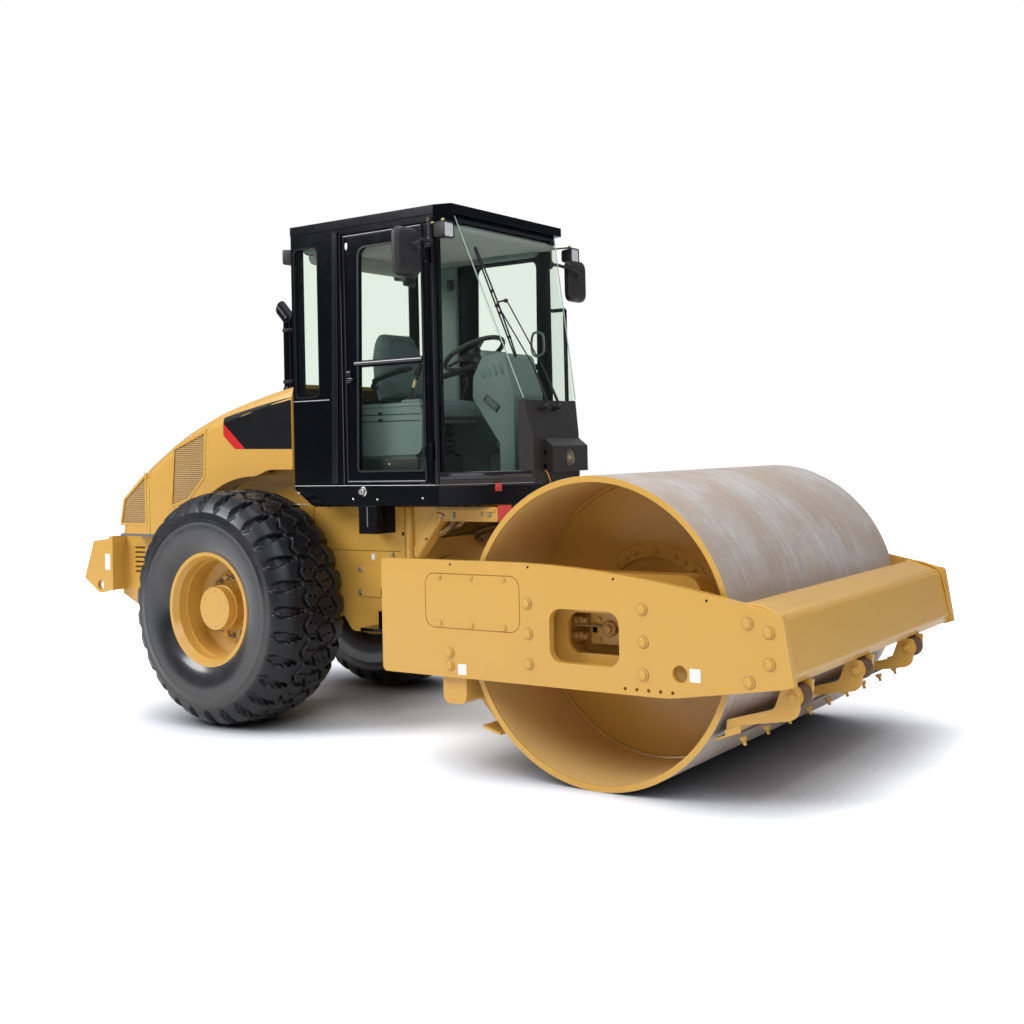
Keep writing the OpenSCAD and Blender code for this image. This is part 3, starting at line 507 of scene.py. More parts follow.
def rounded(corners, steps=5):
    """A flat outline whose corners [a, b, radius] are each rounded by an arc tangent to both sides."""
    corners = np.asarray(corners, dtype=float)
    made = []
    for before, here, after in zip(np.roll(corners, 1, 0), corners, np.roll(corners, -1, 0)):
        if here[2] <= 0:
            made.append(here[None, :2])
            continue
        u, w = before[:2] - here[:2], after[:2] - here[:2]
        u, w = u / np.linalg.norm(u), w / np.linalg.norm(w)
        half = math.acos(max(-1.0, min(1.0, float(u @ w)))) / 2
        middle = here[:2] + (u + w) / np.linalg.norm(u + w) * here[2] / math.sin(half)
        start = here[:2] + u * here[2] / math.tan(half) - middle
        sweep = math.pi - 2 * half
        ahead = w - u
        sign = 1.0 if start[0] * ahead[1] - start[1] * ahead[0] > 0 else -1.0
        turn = sign * np.linspace(0, sweep, steps + 1)
        made.append(middle + np.stack([start[0] * np.cos(turn) - start[1] * np.sin(turn),
                                       start[0] * np.sin(turn) + start[1] * np.cos(turn)], -1))
    return np.concatenate(made)


def box_outline(low, high, radius=0.0, steps=4):
    """A rectangle between two corners, its corners rounded."""
    return rounded([[low[0], low[1], radius], [high[0], low[1], radius], [high[0], high[1], radius],
                    [low[0], high[1], radius]], steps)


def inset(points, depth):
    """The closed outline moved inwards by depth, along the bisector of each corner."""
    after, before = np.roll(points, -1, 0) - points, points - np.roll(points, 1, 0)
    area = float((points[:, 0] * np.roll(points[:, 1], -1) - points[:, 1] * np.roll(points[:, 0], -1)).sum())
    side = 1.0 if area > 0 else -1.0
    n1 = side * np.stack([-before[:, 1], before[:, 0]], -1) / (np.linalg.norm(before, axis=1)[:, None] + 1e-12)
    n2 = side * np.stack([-after[:, 1], after[:, 0]], -1) / (np.linalg.norm(after, axis=1)[:, None] + 1e-12)
    both = n1 + n2
    return points + both * depth / np.maximum((both * n1).sum(1), 0.3)[:, None]


PLANES = {"X": ((1, 2), 0), "Y": ((0, 2), 1), "Z": ((0, 1), 2)}


def prism(solid, outline, low, high, across="Y", edge=0.0):
    """A flat outline carried from low to high along an axis, both rims cut back by edge."""
    outline = np.asarray(outline, dtype=float)[:, :2]
    low, high = sorted((low, high))
    (a, b), c = PLANES[across]
    small = inset(outline, edge) if edge else outline
    levels = [(small, low), (outline, low + edge), (outline, high - edge), (small, high)] if edge else \
        [(outline, low), (outline, high)]
    n = len(outline)
    points = np.zeros((len(levels), n, 3))
    for i, (ring, level) in enumerate(levels):
        points[i, :, a], points[i, :, b], points[i, :, c] = ring[:, 0], ring[:, 1], level
    ends = [np.arange(n)[::-1], np.arange(n) + n * (len(levels) - 1)]
    solid.add(points, [grid_faces(len(levels), n, wrap_v=True)[:, ::-1], *ends])


def turned(solid, profile, centre, axis="Y", steps=96, sweep=2 * math.pi, start=0.0):
    """A closed profile of (radius, distance along the axis) turned about an axis through the centre.

    Each point is centre + radius * (cos, sin of the angle) in the plane across the axis + distance along it.
    """
    profile = np.asarray(profile, dtype=float)
    whole = sweep > 6.28
    angle = start + np.linspace(0, sweep, steps + (0 if whole else 1), endpoint=not whole)
    a, b, c = {"X": (1, 2, 0), "Y": (2, 0, 1), "Z": (0, 1, 2)}[axis]
    points = np.zeros((len(angle), len(profile), 3))
    points[..., a] = profile[None, :, 0] * np.cos(angle)[:, None]
    points[..., b] = profile[None, :, 0] * np.sin(angle)[:, None]
    points[..., c] = profile[None, :, 1]
    points += np.asarray(centre)
    n = len(profile)
    faces = [grid_faces(len(angle), n, wrap_u=whole, wrap_v=True)]
    if not whole:
        faces += [np.arange(n)[::-1], np.arange(n) + n * (len(angle) - 1)]
    solid.add(points, faces)


def curve(points, per=8, closed=False):
    """A smooth curve through the points: on each span the cubic whose slopes are half the chord between neighbours."""
    p = np.asarray(points, dtype=float)
    if closed:
        p0, p1, p2, p3 = np.roll(p, 1, 0), p, np.roll(p, -1, 0), np.roll(p, -2, 0)
    else:
        q = np.concatenate([2 * p[:1] - p[1:2], p, 2 * p[-1:] - p[-2:-1]])
        p0, p1, p2, p3 = q[:-3], q[1:-2], q[2:-1], q[3:]
    t = np.linspace(0, 1, per, endpoint=False)[None, :, None]
    p0, p1, p2, p3 = (x[:, None, :] for x in (p0, p1, p2, p3))
    made = 0.5 * (2 * p1 + (p2 - p0) * t + (2 * p0 - 5 * p1 + 4 * p2 - p3) * t ** 2
                  + (3 * p1 - p0 - 3 * p2 + p3) * t ** 3)
    made = made.reshape(-1, p.shape[1])
    return made if closed else np.concatenate([made, p[-1:]])


def swept(solid, section, path, closed=False, up=None, size=1.0):
    """A closed flat section (side, up) carried along a path and scaled by size.

    The frame at each point is the path's direction, the side = direction x up, and up made square to both; up is the
    path's flattest direction unless given.
    """
    path = np.asarray(path, dtype=float)
    if closed:
        run = np.roll(path, -1, 0) - np.roll(path, 1, 0)
    else:
        run = np.gradient(path, axis=0)
    run /= np.linalg.norm(run, axis=1)[:, None]
    if up is None:
        up = np.linalg.svd(path - path.mean(0))[2][2] if len(path) > 2 else axes_of(run[0])[0]
    side = np.cross(run, np.asarray(up, dtype=float))
    side /= np.linalg.norm(side, axis=1)[:, None]
    top = np.cross(side, run)
    section = np.asarray(section, dtype=float)
    size = np.broadcast_to(np.asarray(size, dtype=float), (len(path),))[:, None, None]
    points = path[:, None, :] + size * (section[None, :, :1] * side[:, None, :] + section[None, :, 1:] * top[:,
            None, :])
    n = len(section)
    faces = [grid_faces(len(path), n, wrap_u=closed, wrap_v=True)]
    if not closed:
        faces += [np.arange(n)[::-1], np.arange(n) + n * (len(path) - 1)]
    solid.add(points, faces)


def circle(radius, steps=12):
    """A round section."""
    turn = np.linspace(0, 2 * math.pi, steps, endpoint=False)
    return radius * np.stack([np.cos(turn), np.sin(turn)], -1)


def tube(solid, path, radius, steps=12, closed=False, up=None, size=1.0):
    """A round bar or hose along a path."""
    swept(solid, circle(radius, steps), path, closed, up, size)


def soft_box(solid, low, high, radius, k=3, turn=None, centre=None):
    """A box with rounded edges: each point is a corner of the inner box plus radius along a direction on the sphere.

    With turn, a 3 x 3 matrix, the box is turned about its middle, which then moves to centre.
    """
    low, high = np.sort(np.array([low, high], dtype=float), axis=0)
    middle, half = (low + high) / 2, (high - low) / 2
    radius = min(radius, float(half.min()))
    quarter = np.linspace(0, math.pi / 2, k + 1)
    around = np.concatenate([quarter + q * math.pi / 2 for q in range(4)])
    signs = np.repeat([[1, 1], [-1, 1], [-1, -1], [1, -1]], k + 1, axis=0)
    rise = np.concatenate([quarter - math.pi / 2, quarter])
    rise[0], rise[-1] = -math.radians(84), math.radians(84)
    level = np.repeat([-1.0, 1.0], k + 1)
    inner = half - radius
    points = np.zeros((len(rise), len(around), 3))
    points[..., 0] = signs[:, 0] * inner[0] + radius * np.cos(around) * np.cos(rise)[:, None]
    points[..., 1] = signs[:, 1] * inner[1] + radius * np.sin(around) * np.cos(rise)[:, None]
    points[..., 2] = (level * inner[2] + radius * np.sin(rise))[:, None]
    points = points.reshape(-1, 3)
    if turn is not None:
        points = points @ np.asarray(turn).T
    n = len(around)
    solid.add(points + (middle if centre is None else np.asarray(centre)),
              [grid_faces(len(rise), n, wrap_v=True), np.arange(n)[::-1], np.arange(n) + n * (len(rise) - 1)])


def turn_about(axis, degrees):
    """The matrix that turns by this angle about one axis."""
    return np.array(mathutils.Matrix.Rotation(math.radians(degrees), 3, axis))


def stack(rings):
    """A closed form of rings of points that share their count, as (points, faces)."""
    n = len(rings[0])
    points = np.concatenate(rings)
    return points, [grid_faces(len(rings), n, wrap_v=True), np.arange(n)[::-1],
                    np.arange(n) + n * (len(rings) - 1)]


def ring_at(radius, level, steps, twist=0.0):
    """Points of a circle at a level."""
    return np.concatenate([circle(radius, steps) @ np.array(
        [[math.cos(twist), math.sin(twist)], [-math.sin(twist), math.cos(twist)]]), np.full((steps, 1), level)],
        1)


def disc(steps, *rings):
    """Forms of one turned part about its own Z, from (radius, level) rings."""
    return [stack([ring_at(radius, level, steps) for radius, level in rings])]


def hex_head(radius, height, washer=0.0, thin=0.004):
    """Forms of a bolt head seen from its axis: a washer disc, then a six-sided head with a chamfered top."""
    forms = []
    base = 0.0
    if washer:
        forms.append(stack([ring_at(washer, 0.0, 20), ring_at(washer, thin * 0.7, 20),
                            ring_at(washer * 0.94, thin, 20)]))
        base = thin
    forms.append(stack([ring_at(radius, base * 0.5, 6), ring_at(radius, base + height * 0.8, 6),
                        ring_at(radius * 0.84, base + height, 6)]))
    return forms


def round_head(radius, height, steps=14):
    """Form of a domed screw head."""
    rise = np.radians([0, 35, 62, 82])
    return [stack([ring_at(radius * math.cos(a), height * math.sin(a), steps) for a in rise])]


def put(solid, forms, places, direction, twist=0.3):
    """Copies of the forms at all places, their own Z along the direction."""
    u, v, w = axes_of(direction)
    u, v = u * math.cos(twist) + v * math.sin(twist), v * math.cos(twist) - u * math.sin(twist)
    for points, faces in forms:
        for place in np.atleast_2d(np.asarray(places, dtype=float)):
            solid.add(place + points[:, :1] * u + points[:, 1:2] * v + points[:, 2:] * w, faces)


def wave(x):
    """A triangle wave from -1 to 1 with period 1."""
    return 4 * np.abs((x - 0.25) % 1.0 - 0.5) - 1


def ramp(x, low, high):
    """0 under low, 1 over high, smooth between."""
    t = np.clip((x - low) / (high - low), 0, 1)
    return t * t * (3 - 2 * t)


SIDES = ((1, "left"), (-1, "right"))


# Tyres and wheels
LUGS, PER_LUG, GROOVE, NOTCH = 28, 20, 0.024, 0.035


def tyre(side, body):
    """One tyre, its tread cut into the section as a relief.

    Across the tread v goes from -1 to 1, and p counts lugs round the tyre. Zigzag grooves follow
    v = a + b * wave(p); cross grooves follow whole and half p; each shoulder lug ends in a scoop on the wall.
    """
    steps = LUGS * PER_LUG
    # half the section from the bead to the middle of the tread, as (radius, distance)
    wall = [(RIM_R + 0.001, 0.225), (RIM_R + 0.018, 0.232), (0.352, 0.246), (0.375, 0.262), (0.405, 0.275),
            (0.44, 0.284), (0.48, 0.2905), (0.515, 0.2925), (0.535, 0.2925), (0.541, 0.2935), (0.553, 0.2935),
            (0.560, 0.2905),
            (0.58, 0.2905), (0.600, 0.289)]
    crown_d = np.array([0.289, 0.285, 0.279, 0.272, 0.264, 0.256, 0.248, 0.239, 0.229, 0.219, 0.209, 0.198])
    crown = [(float(np.interp(d, [0.10, 0.17, 0.198, 0.229, 0.262, 0.284, 0.289],
                              [0.7295, 0.7225, 0.710, 0.692, 0.657, 0.614, 0.603])), d)
             for d in crown_d]
    flat = [(float(np.interp(abs(d), [0, 0.08, 0.10, 0.17, 0.19], [0.731, 0.7305, 0.7285, 0.7165, 0.7125])), d)
            for d in np.linspace(0.190, -0.190, 89)]
    half = wall + crown
    section = np.array([(r, -d) for r, d in half] + [(r, -d) for r, d in flat] + [(r, d) for r,
            d in reversed(half)]
                       + [(RIM_R + 0.001, 0.15), (RIM_R + 0.001, -0.15)])
    r, d = section[:, 0], section[:, 1]
    p = np.arange(steps) / PER_LUG
    P, D = np.meshgrid(p, d, indexing="ij")
    V = D / 0.236
    R = np.broadcast_to(r, P.shape).copy()
    flip = np.where(V < 0, 0.5, 0.0)
    # zigzag grooves: one in the middle and one towards each shoulder
    middle = np.abs(V - 0.12 * wave(P)) / 0.050
    sides = np.abs(np.abs(V) - 0.47 - 0.095 * wave(P + flip + 0.25)) / 0.058
    cut = np.maximum(1 - ramp(middle, 0.55, 1.1), 1 - ramp(sides, 0.55, 1.1))
    # cross grooves of the two inner rows, half a lug apart, and a narrow slit in each block
    phase = P + flip
    inner_row = ramp(np.abs(V), 0.02, 0.05) * (1 - ramp(np.abs(V), 0.42, 0.48))
    cross = np.abs(((phase + 0.3 * np.abs(V)) % 1.0) - 0.5) / 0.085
    cut = np.maximum(cut, (1 - ramp(cross, 0.7, 1.3)) * inner_row)
    slit = np.abs(((phase + 0.5 + 0.3 * np.abs(V)) % 1.0) - 0.5) / 0.022
    cut = np.maximum(cut, 0.45 * (1 - ramp(slit, 0.6, 1.2)) * inner_row)
    # shoulder lugs: gaps that widen outwards and end in a round scoop low on the wall
    drop = np.clip((TYRE_R - R) / 0.127, 0, 1)
    outward = ramp(np.abs(V), 0.5, 1.15)
    gap = np.abs(((phase + 0.10) % 1.0) - 0.5) / (0.075 + 0.15 * outward)
    reach = 1 - ramp(drop + 0.32 * np.clip(gap, 0, 2) ** 2, 0.80, 1.02)
    lug = (1 - ramp(gap, 0.78, 1.12)) * ramp(np.abs(V), 0.50, 0.57) * reach
    tread = (np.abs(V) < 0.58) | ((R > 0.66) & (np.abs(V) < 0.62))
    depth = GROOVE * cut * tread
    depth = np.maximum(depth, NOTCH * lug * (R > 0.6005))
    # cut straight in from the surface: inwards on the tread, and sideways as the shoulder turns to the wall
    lean = ramp(np.abs(D), 0.20, 0.285)
    R -= depth * (1 - 0.75 * lean)
    D = D - np.sign(D) * depth * 0.85 * lean
    # fine rings low on the wall and a rim-guard bead
    for ring, high in ((0.425, 0.0022), (0.470, 0.0016)):
        D = D + np.sign(D) * high * np.exp(-((R - ring) / 0.006) ** 2) * (np.abs(D) > 0.2)
    angle = 2 * math.pi * p / LUGS
    points = np.stack([WHEEL_X + R * np.sin(angle)[:, None], side * TRACK + D,
                       TYRE_R + R * np.cos(angle)[:, None]], -1)
    solid = Solid()
    solid.add(points, grid_faces(steps, len(section), wrap_u=True, wrap_v=True))
    name = "tyre_left" if side > 0 else "tyre_right"
    solid.piece("treaded_" + name, "tyre_rubber", body, smooth=38.0, stands_for=(name,))


def wheel_trim(side, body):
    """Nuts on the disc, ridges of the barrel, the rolled lip, the hub cap's screws and a valve."""
    word = "left" if side > 0 else "right"
    out = side * TRACK
    centre = (WHEEL_X, out, TYRE_R)
    bright = Solid()
    turn = np.radians(18 + 36 * np.arange(10))
    nuts = np.stack([WHEEL_X + 0.185 * np.cos(turn), np.full(10, out + side * 0.030),
                     TYRE_R + 0.185 * np.sin(turn)], -1)
    put(bright, hex_head(0.0185, 0.026, 0.026, 0.006), nuts, (0, side, 0))
    put(bright, disc(12, (0.0085, 0.02), (0.0085, 0.058), (0.006, 0.062)), nuts, (0, side, 0))
    bright.piece("wheel_nuts_" + word, "satin_nut", body)
    trim = Solid()
    for dist, lip in ((0.196, 0.352), (0.150, 0.309)):
        turned(trim, np.array([(lip - 0.006, dist), (lip, dist + 0.003), (lip + 0.003, dist + 0.009),
                               (lip, dist + 0.015),
                               (lip - 0.010, dist + 0.016), (lip - 0.014, dist + 0.006)]) * (1, side), centre,
                               steps=96)
    turned(trim, np.array([(0.136, 0.120), (0.141, 0.124), (0.141, 0.136), (0.136, 0.140), (0.128, 0.140),
                           (0.128, 0.120)])
           * (1, side), centre, steps=64)
    trim.piece("rim_lips_" + word, "yellow_paint", body)
    cap = Solid()
    turn = np.radians(30 + 60 * np.arange(6))
    put(cap, hex_head(0.0075, 0.006, 0.010, 0.002), np.stack([WHEEL_X + 0.107 * np.cos(turn),
                                                              np.full(6, out + side * 0.189),
        TYRE_R + 0.107 * np.sin(turn)], -1), (0, side, 0))
    tube(cap, [(WHEEL_X + 0.235, out + side * 0.045, TYRE_R - 0.185),
               (WHEEL_X + 0.225, out + side * 0.085, TYRE_R - 0.18),
               (WHEEL_X + 0.212, out + side * 0.112, TYRE_R - 0.172)], 0.006, 10)
    cap.piece("wheel_screws_" + word, "brass", body)


for side, word in SIDES:
    tyre(side, "wheel_" + word)
    wheel_trim(side, "wheel_" + word)


# Drum and its yoke
def on_circle(centre, radius, degrees, y):
    """Places round a centre (x, z) at these angles from X towards Z."""
    turn = np.radians(np.asarray(degrees, dtype=float))
    return np.stack([centre[0] + radius * np.cos(turn), np.full(len(turn), y),
                     centre[1] + radius * np.sin(turn)], -1)


def side_places(points, y):
    """Places at one distance to the side."""
    return np.array([(x, y, z) for x, z in points])


def drum_details(side, word):
    """Bolts of the bearing ring and the cover, and the weld between the bulkhead and the shell."""
    heads, axle = Solid(), (DRUM[0], DRUM[2])
    groups = np.concatenate([57.5 + 60 * np.arange(6) + d for d in (-10, 0, 10)])
    put(heads, hex_head(0.0135, 0.012, 0.0185, 0.0035), on_circle(axle, 0.356,
                                                                  np.append(groups, 87.5 + 60 * np.arange(6)),
        side * 0.470), (0, side, 0))
    put(heads, hex_head(0.011, 0.010, 0.015, 0.003), side_places([(1.741, 0.991), (1.875, 0.956),
                                                                  (1.974, 1.007),
        (1.971, 0.977)], side * 0.4335), (0, side, 0))
    heads.piece("drum_bolts_" + word, "yellow_paint", "drum")
    weld = Solid()
    for radius, distance, size in ((0.7325, 0.458, 0.012), (0.395, 0.457, 0.007)):
        turned(weld, circle(size, 8) + (radius, 0) + np.array([0, side * distance]), DRUM, steps=160)
    turned(weld, [(0.7365, side * 1.060), (0.7365, side * 1.0672), (0.7663, side * 1.0672),
                  (0.7663, side * 1.060)], DRUM, steps=160)
    weld.piece("drum_welds_" + word, "yellow_paint", "drum")


BIG_BOLTS = [(1.503, 0.905), (1.506, 0.755), (1.507, 0.606), (1.003, 0.629), (1.003, 0.563), (2.167, 0.907),
             (2.168, 0.755),
             (2.166, 0.602), (2.710, 0.871), (2.812, 0.836), (2.812, 0.698), (2.711, 0.611)]
COVER_BOLTS = [(0.940, 1.017), (1.148, 1.018), (1.358, 1.017), (0.942, 0.777), (1.150, 0.776), (1.359, 0.775)]


def plate_details(side, word):
    """Bolts, screws and labels of one side plate, painted shade in its small holes and round its bolts, and the motor's
    fittings in its window.
    """
    out = side * PLATE_Y
    heads = Solid()
    put(heads, hex_head(0.0205, 0.010, 0.0285, 0.0035), side_places(BIG_BOLTS, out), (0, side, 0))
    put(heads, hex_head(0.0110, 0.005, 0.0155, 0.002), side_places(COVER_BOLTS, out), (0, side, 0))
    # thin dark brown discs just wider than each washer: painted shade round the bolts
    shadow = Solid()
    for radius, places in ((0.0303, BIG_BOLTS), (0.0167, COVER_BOLTS)):
        put(shadow, disc(28, (radius, -0.0005), (radius, 0.0005)), side_places(places, out), (0, side, 0))
    shadow.piece("bolt_joints_" + word, "seam", "yoke")
    put(heads, hex_head(0.0110, 0.010, 0.014, 0.003), side_places([(1.775, 0.810), (1.774, 0.711),
                                                                   (1.895, 0.810),
        (1.895, 0.711)], side * 0.905), (0, side, 0))
    heads.piece("plate_bolts_" + word, "yellow_paint", "yoke")
    # dark discs on the plate's small holes and a dark patch on the motor plate: painted shade inside the holes
    tiny = Solid()
    put(tiny, disc(12, (0.0062, 0.0), (0.0062, 0.0012)), side_places([(1.016, 1.084), (1.512, 1.085),
        (2.011, 1.044), (2.508, 0.964)], out), (0, side, 0))
    prism(tiny, box_outline((1.729, 0.742), (1.757, 0.778), 0.008), side * 0.905, side * 0.9062)
    tiny.piece("plate_holes_" + word, "joint_and_shade_dark", "yoke")
    label = Solid()
    for low, high in (((1.054, 0.520), (1.110, 0.575)), ((2.411, 0.589), (2.468, 0.651))):
        prism(label, box_outline(low, high, 0.004), out, out + side * 0.0009)
    label.piece("plate_labels_" + word, "white_plate", "yoke")

    steel = Solid()
    at = side * 0.930
    for z in (0.806, 0.726):
        tube(steel, [(1.613, at, z), (1.700, at, z)], 0.0165, 14)
        put(steel, hex_head(0.024, 0.020), [(1.640, at, z), (1.672, at, z)], (1, 0, 0), 0.2)
        put(steel, hex_head(0.021, 0.016), [(1.702, at, z)], (1, 0, 0), 0.5)
    steel.piece("motor_unions_" + word, "cast_yellow", "yoke")
    pipes = Solid()
    tube(pipes, curve([(1.600, at, 0.780), (1.690, at + side * 0.012, 0.782), (1.745, at, 0.781),
                       (1.790, side * 0.912, 0.776)], 6),
         0.0062, 8)
    for z, bow in ((0.806, 0.10), (0.726, -0.08)):
        tube(pipes, curve([(1.625, at, z), (1.560, at - side * 0.02, z + bow * 0.1),
                           (1.50, side * 0.90, z + bow * 0.4),
                           (1.42, side * 0.86, z + bow)], 8), 0.017, 12)
    tube(pipes, curve([(2.030, side * 0.900, 0.86), (1.960, at, 0.80), (1.905, side * 0.915, 0.767),
                       (1.86, side * 0.90, 0.760)], 8),
         0.015, 12)
    pipes.piece("motor_hoses_" + word, "hose", "yoke")
    port = Solid()
    turned(port, [(0.0, side * 0.900), (0.040, side * 0.900), (0.040, side * 0.918), (0.034, side * 0.924),
                  (0.0, side * 0.924)],
           DRUM, steps=32)
    turned(port, [(0.0, side * 0.920), (0.022, side * 0.920), (0.022, side * 0.936), (0.018, side * 0.940),
                  (0.0, side * 0.940)],
           DRUM, steps=24)
    port.piece("motor_port_" + word, "cast_yellow", "yoke")


def scraper_details():
    """Rubber sleeves, bolts of the bushes and the row of bolts that clamp the blade."""
    sleeve, bolts = Solid(), Solid()
    centre = (2.866, 0, 0.538)
    for y in (-0.920, -0.160, 0.600):
        turned(sleeve, [(0.020, y - 0.094), (0.049, y - 0.090), (0.053, y - 0.078), (0.0535, y - 0.018),
                        (0.049, y - 0.006),
                        (0.020, y - 0.002)], centre, steps=40)
        put(bolts, hex_head(0.021, 0.016, 0.031, 0.005), [(centre[0], y + 0.024, centre[2])], (0, 1, 0))
        put(bolts, hex_head(0.021, 0.016, 0.031, 0.005), [(centre[0], y - 0.116, centre[2])], (0, -1, 0))
    sleeve.piece("scraper_sleeves", "brown_rubber", "yoke")
    places = np.stack([np.full(9, 2.580), -1.0 + 0.25 * np.arange(9), np.full(9, 0.375)], -1)
    down = np.array([0.335, 0.0, -0.942])
    stud = disc(12, (0.0085, 0.0), (0.0085, 0.040), (0.0070, 0.042))
    put(bolts, hex_head(0.017, 0.014, 0.026, 0.005), places, -down)
    put(bolts, hex_head(0.017, 0.016, 0.024, 0.004) + stud, places + down * 0.045, down)
    bolts.piece("scraper_bolts", "yellow_paint", "yoke")
    edge = Solid()
    prism(edge, [(2.4735, 0.3195), (2.4765, 0.3090), (2.612, 0.3555), (2.609, 0.366)], -1.039, 1.039)
    edge.piece("scraper_edge", "blade_steel", "yoke")


def beam_details():
    """Weld runs where the front beam and the crossmember meet the side plates."""
    weld = Solid()
    for side in (1, -1):
        y = side * 1.1085
        tube(weld, curve([(2.655, y, 0.950), (2.71, y, 0.9515), (2.78, y, 0.937), (2.846, y, 0.908),
                          (2.872, y, 0.86),
                          (2.895, y, 0.74), (2.910, y, 0.65)], 6), 0.007, 8)
        tube(weld, [(0.896, y, 0.52), (0.896, y, 0.985)], 0.007, 8)
        tube(weld, [(1.024, y, 0.52), (1.024, y, 0.985)], 0.007, 8)
    weld.piece("yoke_welds", "yellow_paint", "yoke")


for side, word in SIDES:
    drum_details(side, word)
    plate_details(side, word)
scraper_details()
beam_details()


# Hood
HOOD_LINE = rounded([[-0.400, 0.700, 0], [-0.400, 2.175, 0], [-0.928, 2.081, 4.0], [-1.366, 1.980, 2.3],
                     [-1.761, 1.832, 1.9], [-2.128, 1.627, 1.8], [-2.357, 1.461, 0.18], [-2.435, 1.211, 0],
                     [-2.560, 0.700, 0]], 3)


def hood_top(x):
    """Height of the hood's upper line at x."""
    line = HOOD_LINE[(HOOD_LINE[:, 1] > 1.2)]
    order = np.argsort(line[:, 0])
    return np.interp(x, line[order, 0], line[order, 1])


def hood_side(x, z):
    """Half width of the hood at a place, narrowing over the rounded upper edge by how far it lies under the line."""
    slope = (hood_top(x + 0.02) - hood_top(x - 0.02)) / 0.04
    under = (hood_top(x) - z) / np.sqrt(1 + slope ** 2)
    return np.interp(under, [0.0, 0.01206, 0.045, 0.090], [0.510, 0.555, 0.58794, 0.600])


def hood_patch(solid, side, x, low, high, rise, rows=14):
    """A thin skin on the hood's side between two lines over the columns x, rise metres proud."""
    v = np.linspace(0, 1, rows)[None, :]
    z = low[:, None] * (1 - v) + high[:, None] * v
    X = np.broadcast_to(x[:, None], z.shape)
    y = hood_side(X, z)
    skin = np.stack([X, side * (y + rise), z], -1)
    back = np.stack([X, side * (y - 0.003), z], -1)
    n, m = z.shape
    edge = np.concatenate([np.arange(n) * m, (n - 1) * m + np.arange(1, m),
                           (np.arange(n - 1)[::-1]) * m + m - 1,
                           np.arange(1, m - 1)[::-1]])
    nxt = np.roll(edge, -1)
    front = grid_faces(n, m)
    sides = np.stack([edge, edge + n * m, nxt + n * m, nxt], -1)
    solid.add(np.concatenate([skin.reshape(-1, 3), back.reshape(-1, 3)]),
              np.concatenate([front, front[:, ::-1] + n * m, sides]))


MESH_FIELDS = [np.array([(-2.372, 1.389), (-2.142, 1.556), (-2.143, 1.222), (-2.410, 1.224)]),
               np.array([(-1.834, 1.732), (-1.517, 1.841), (-1.536, 1.542), (-1.702, 1.390), (-1.868, 1.350)])]


def along(outline, gap):
    """Places on a closed outline, evenly spaced about this far apart."""
    ring = np.concatenate([outline, outline[:1]])
    run = np.concatenate([[0], np.cumsum(np.linalg.norm(np.diff(ring, axis=0), axis=1))])
    s = np.linspace(0, run[-1], int(run[-1] / gap), endpoint=False) + gap * 0.3
    return np.stack([np.interp(s, run, ring[:, 0]), np.interp(s, run, ring[:, 1])], -1)


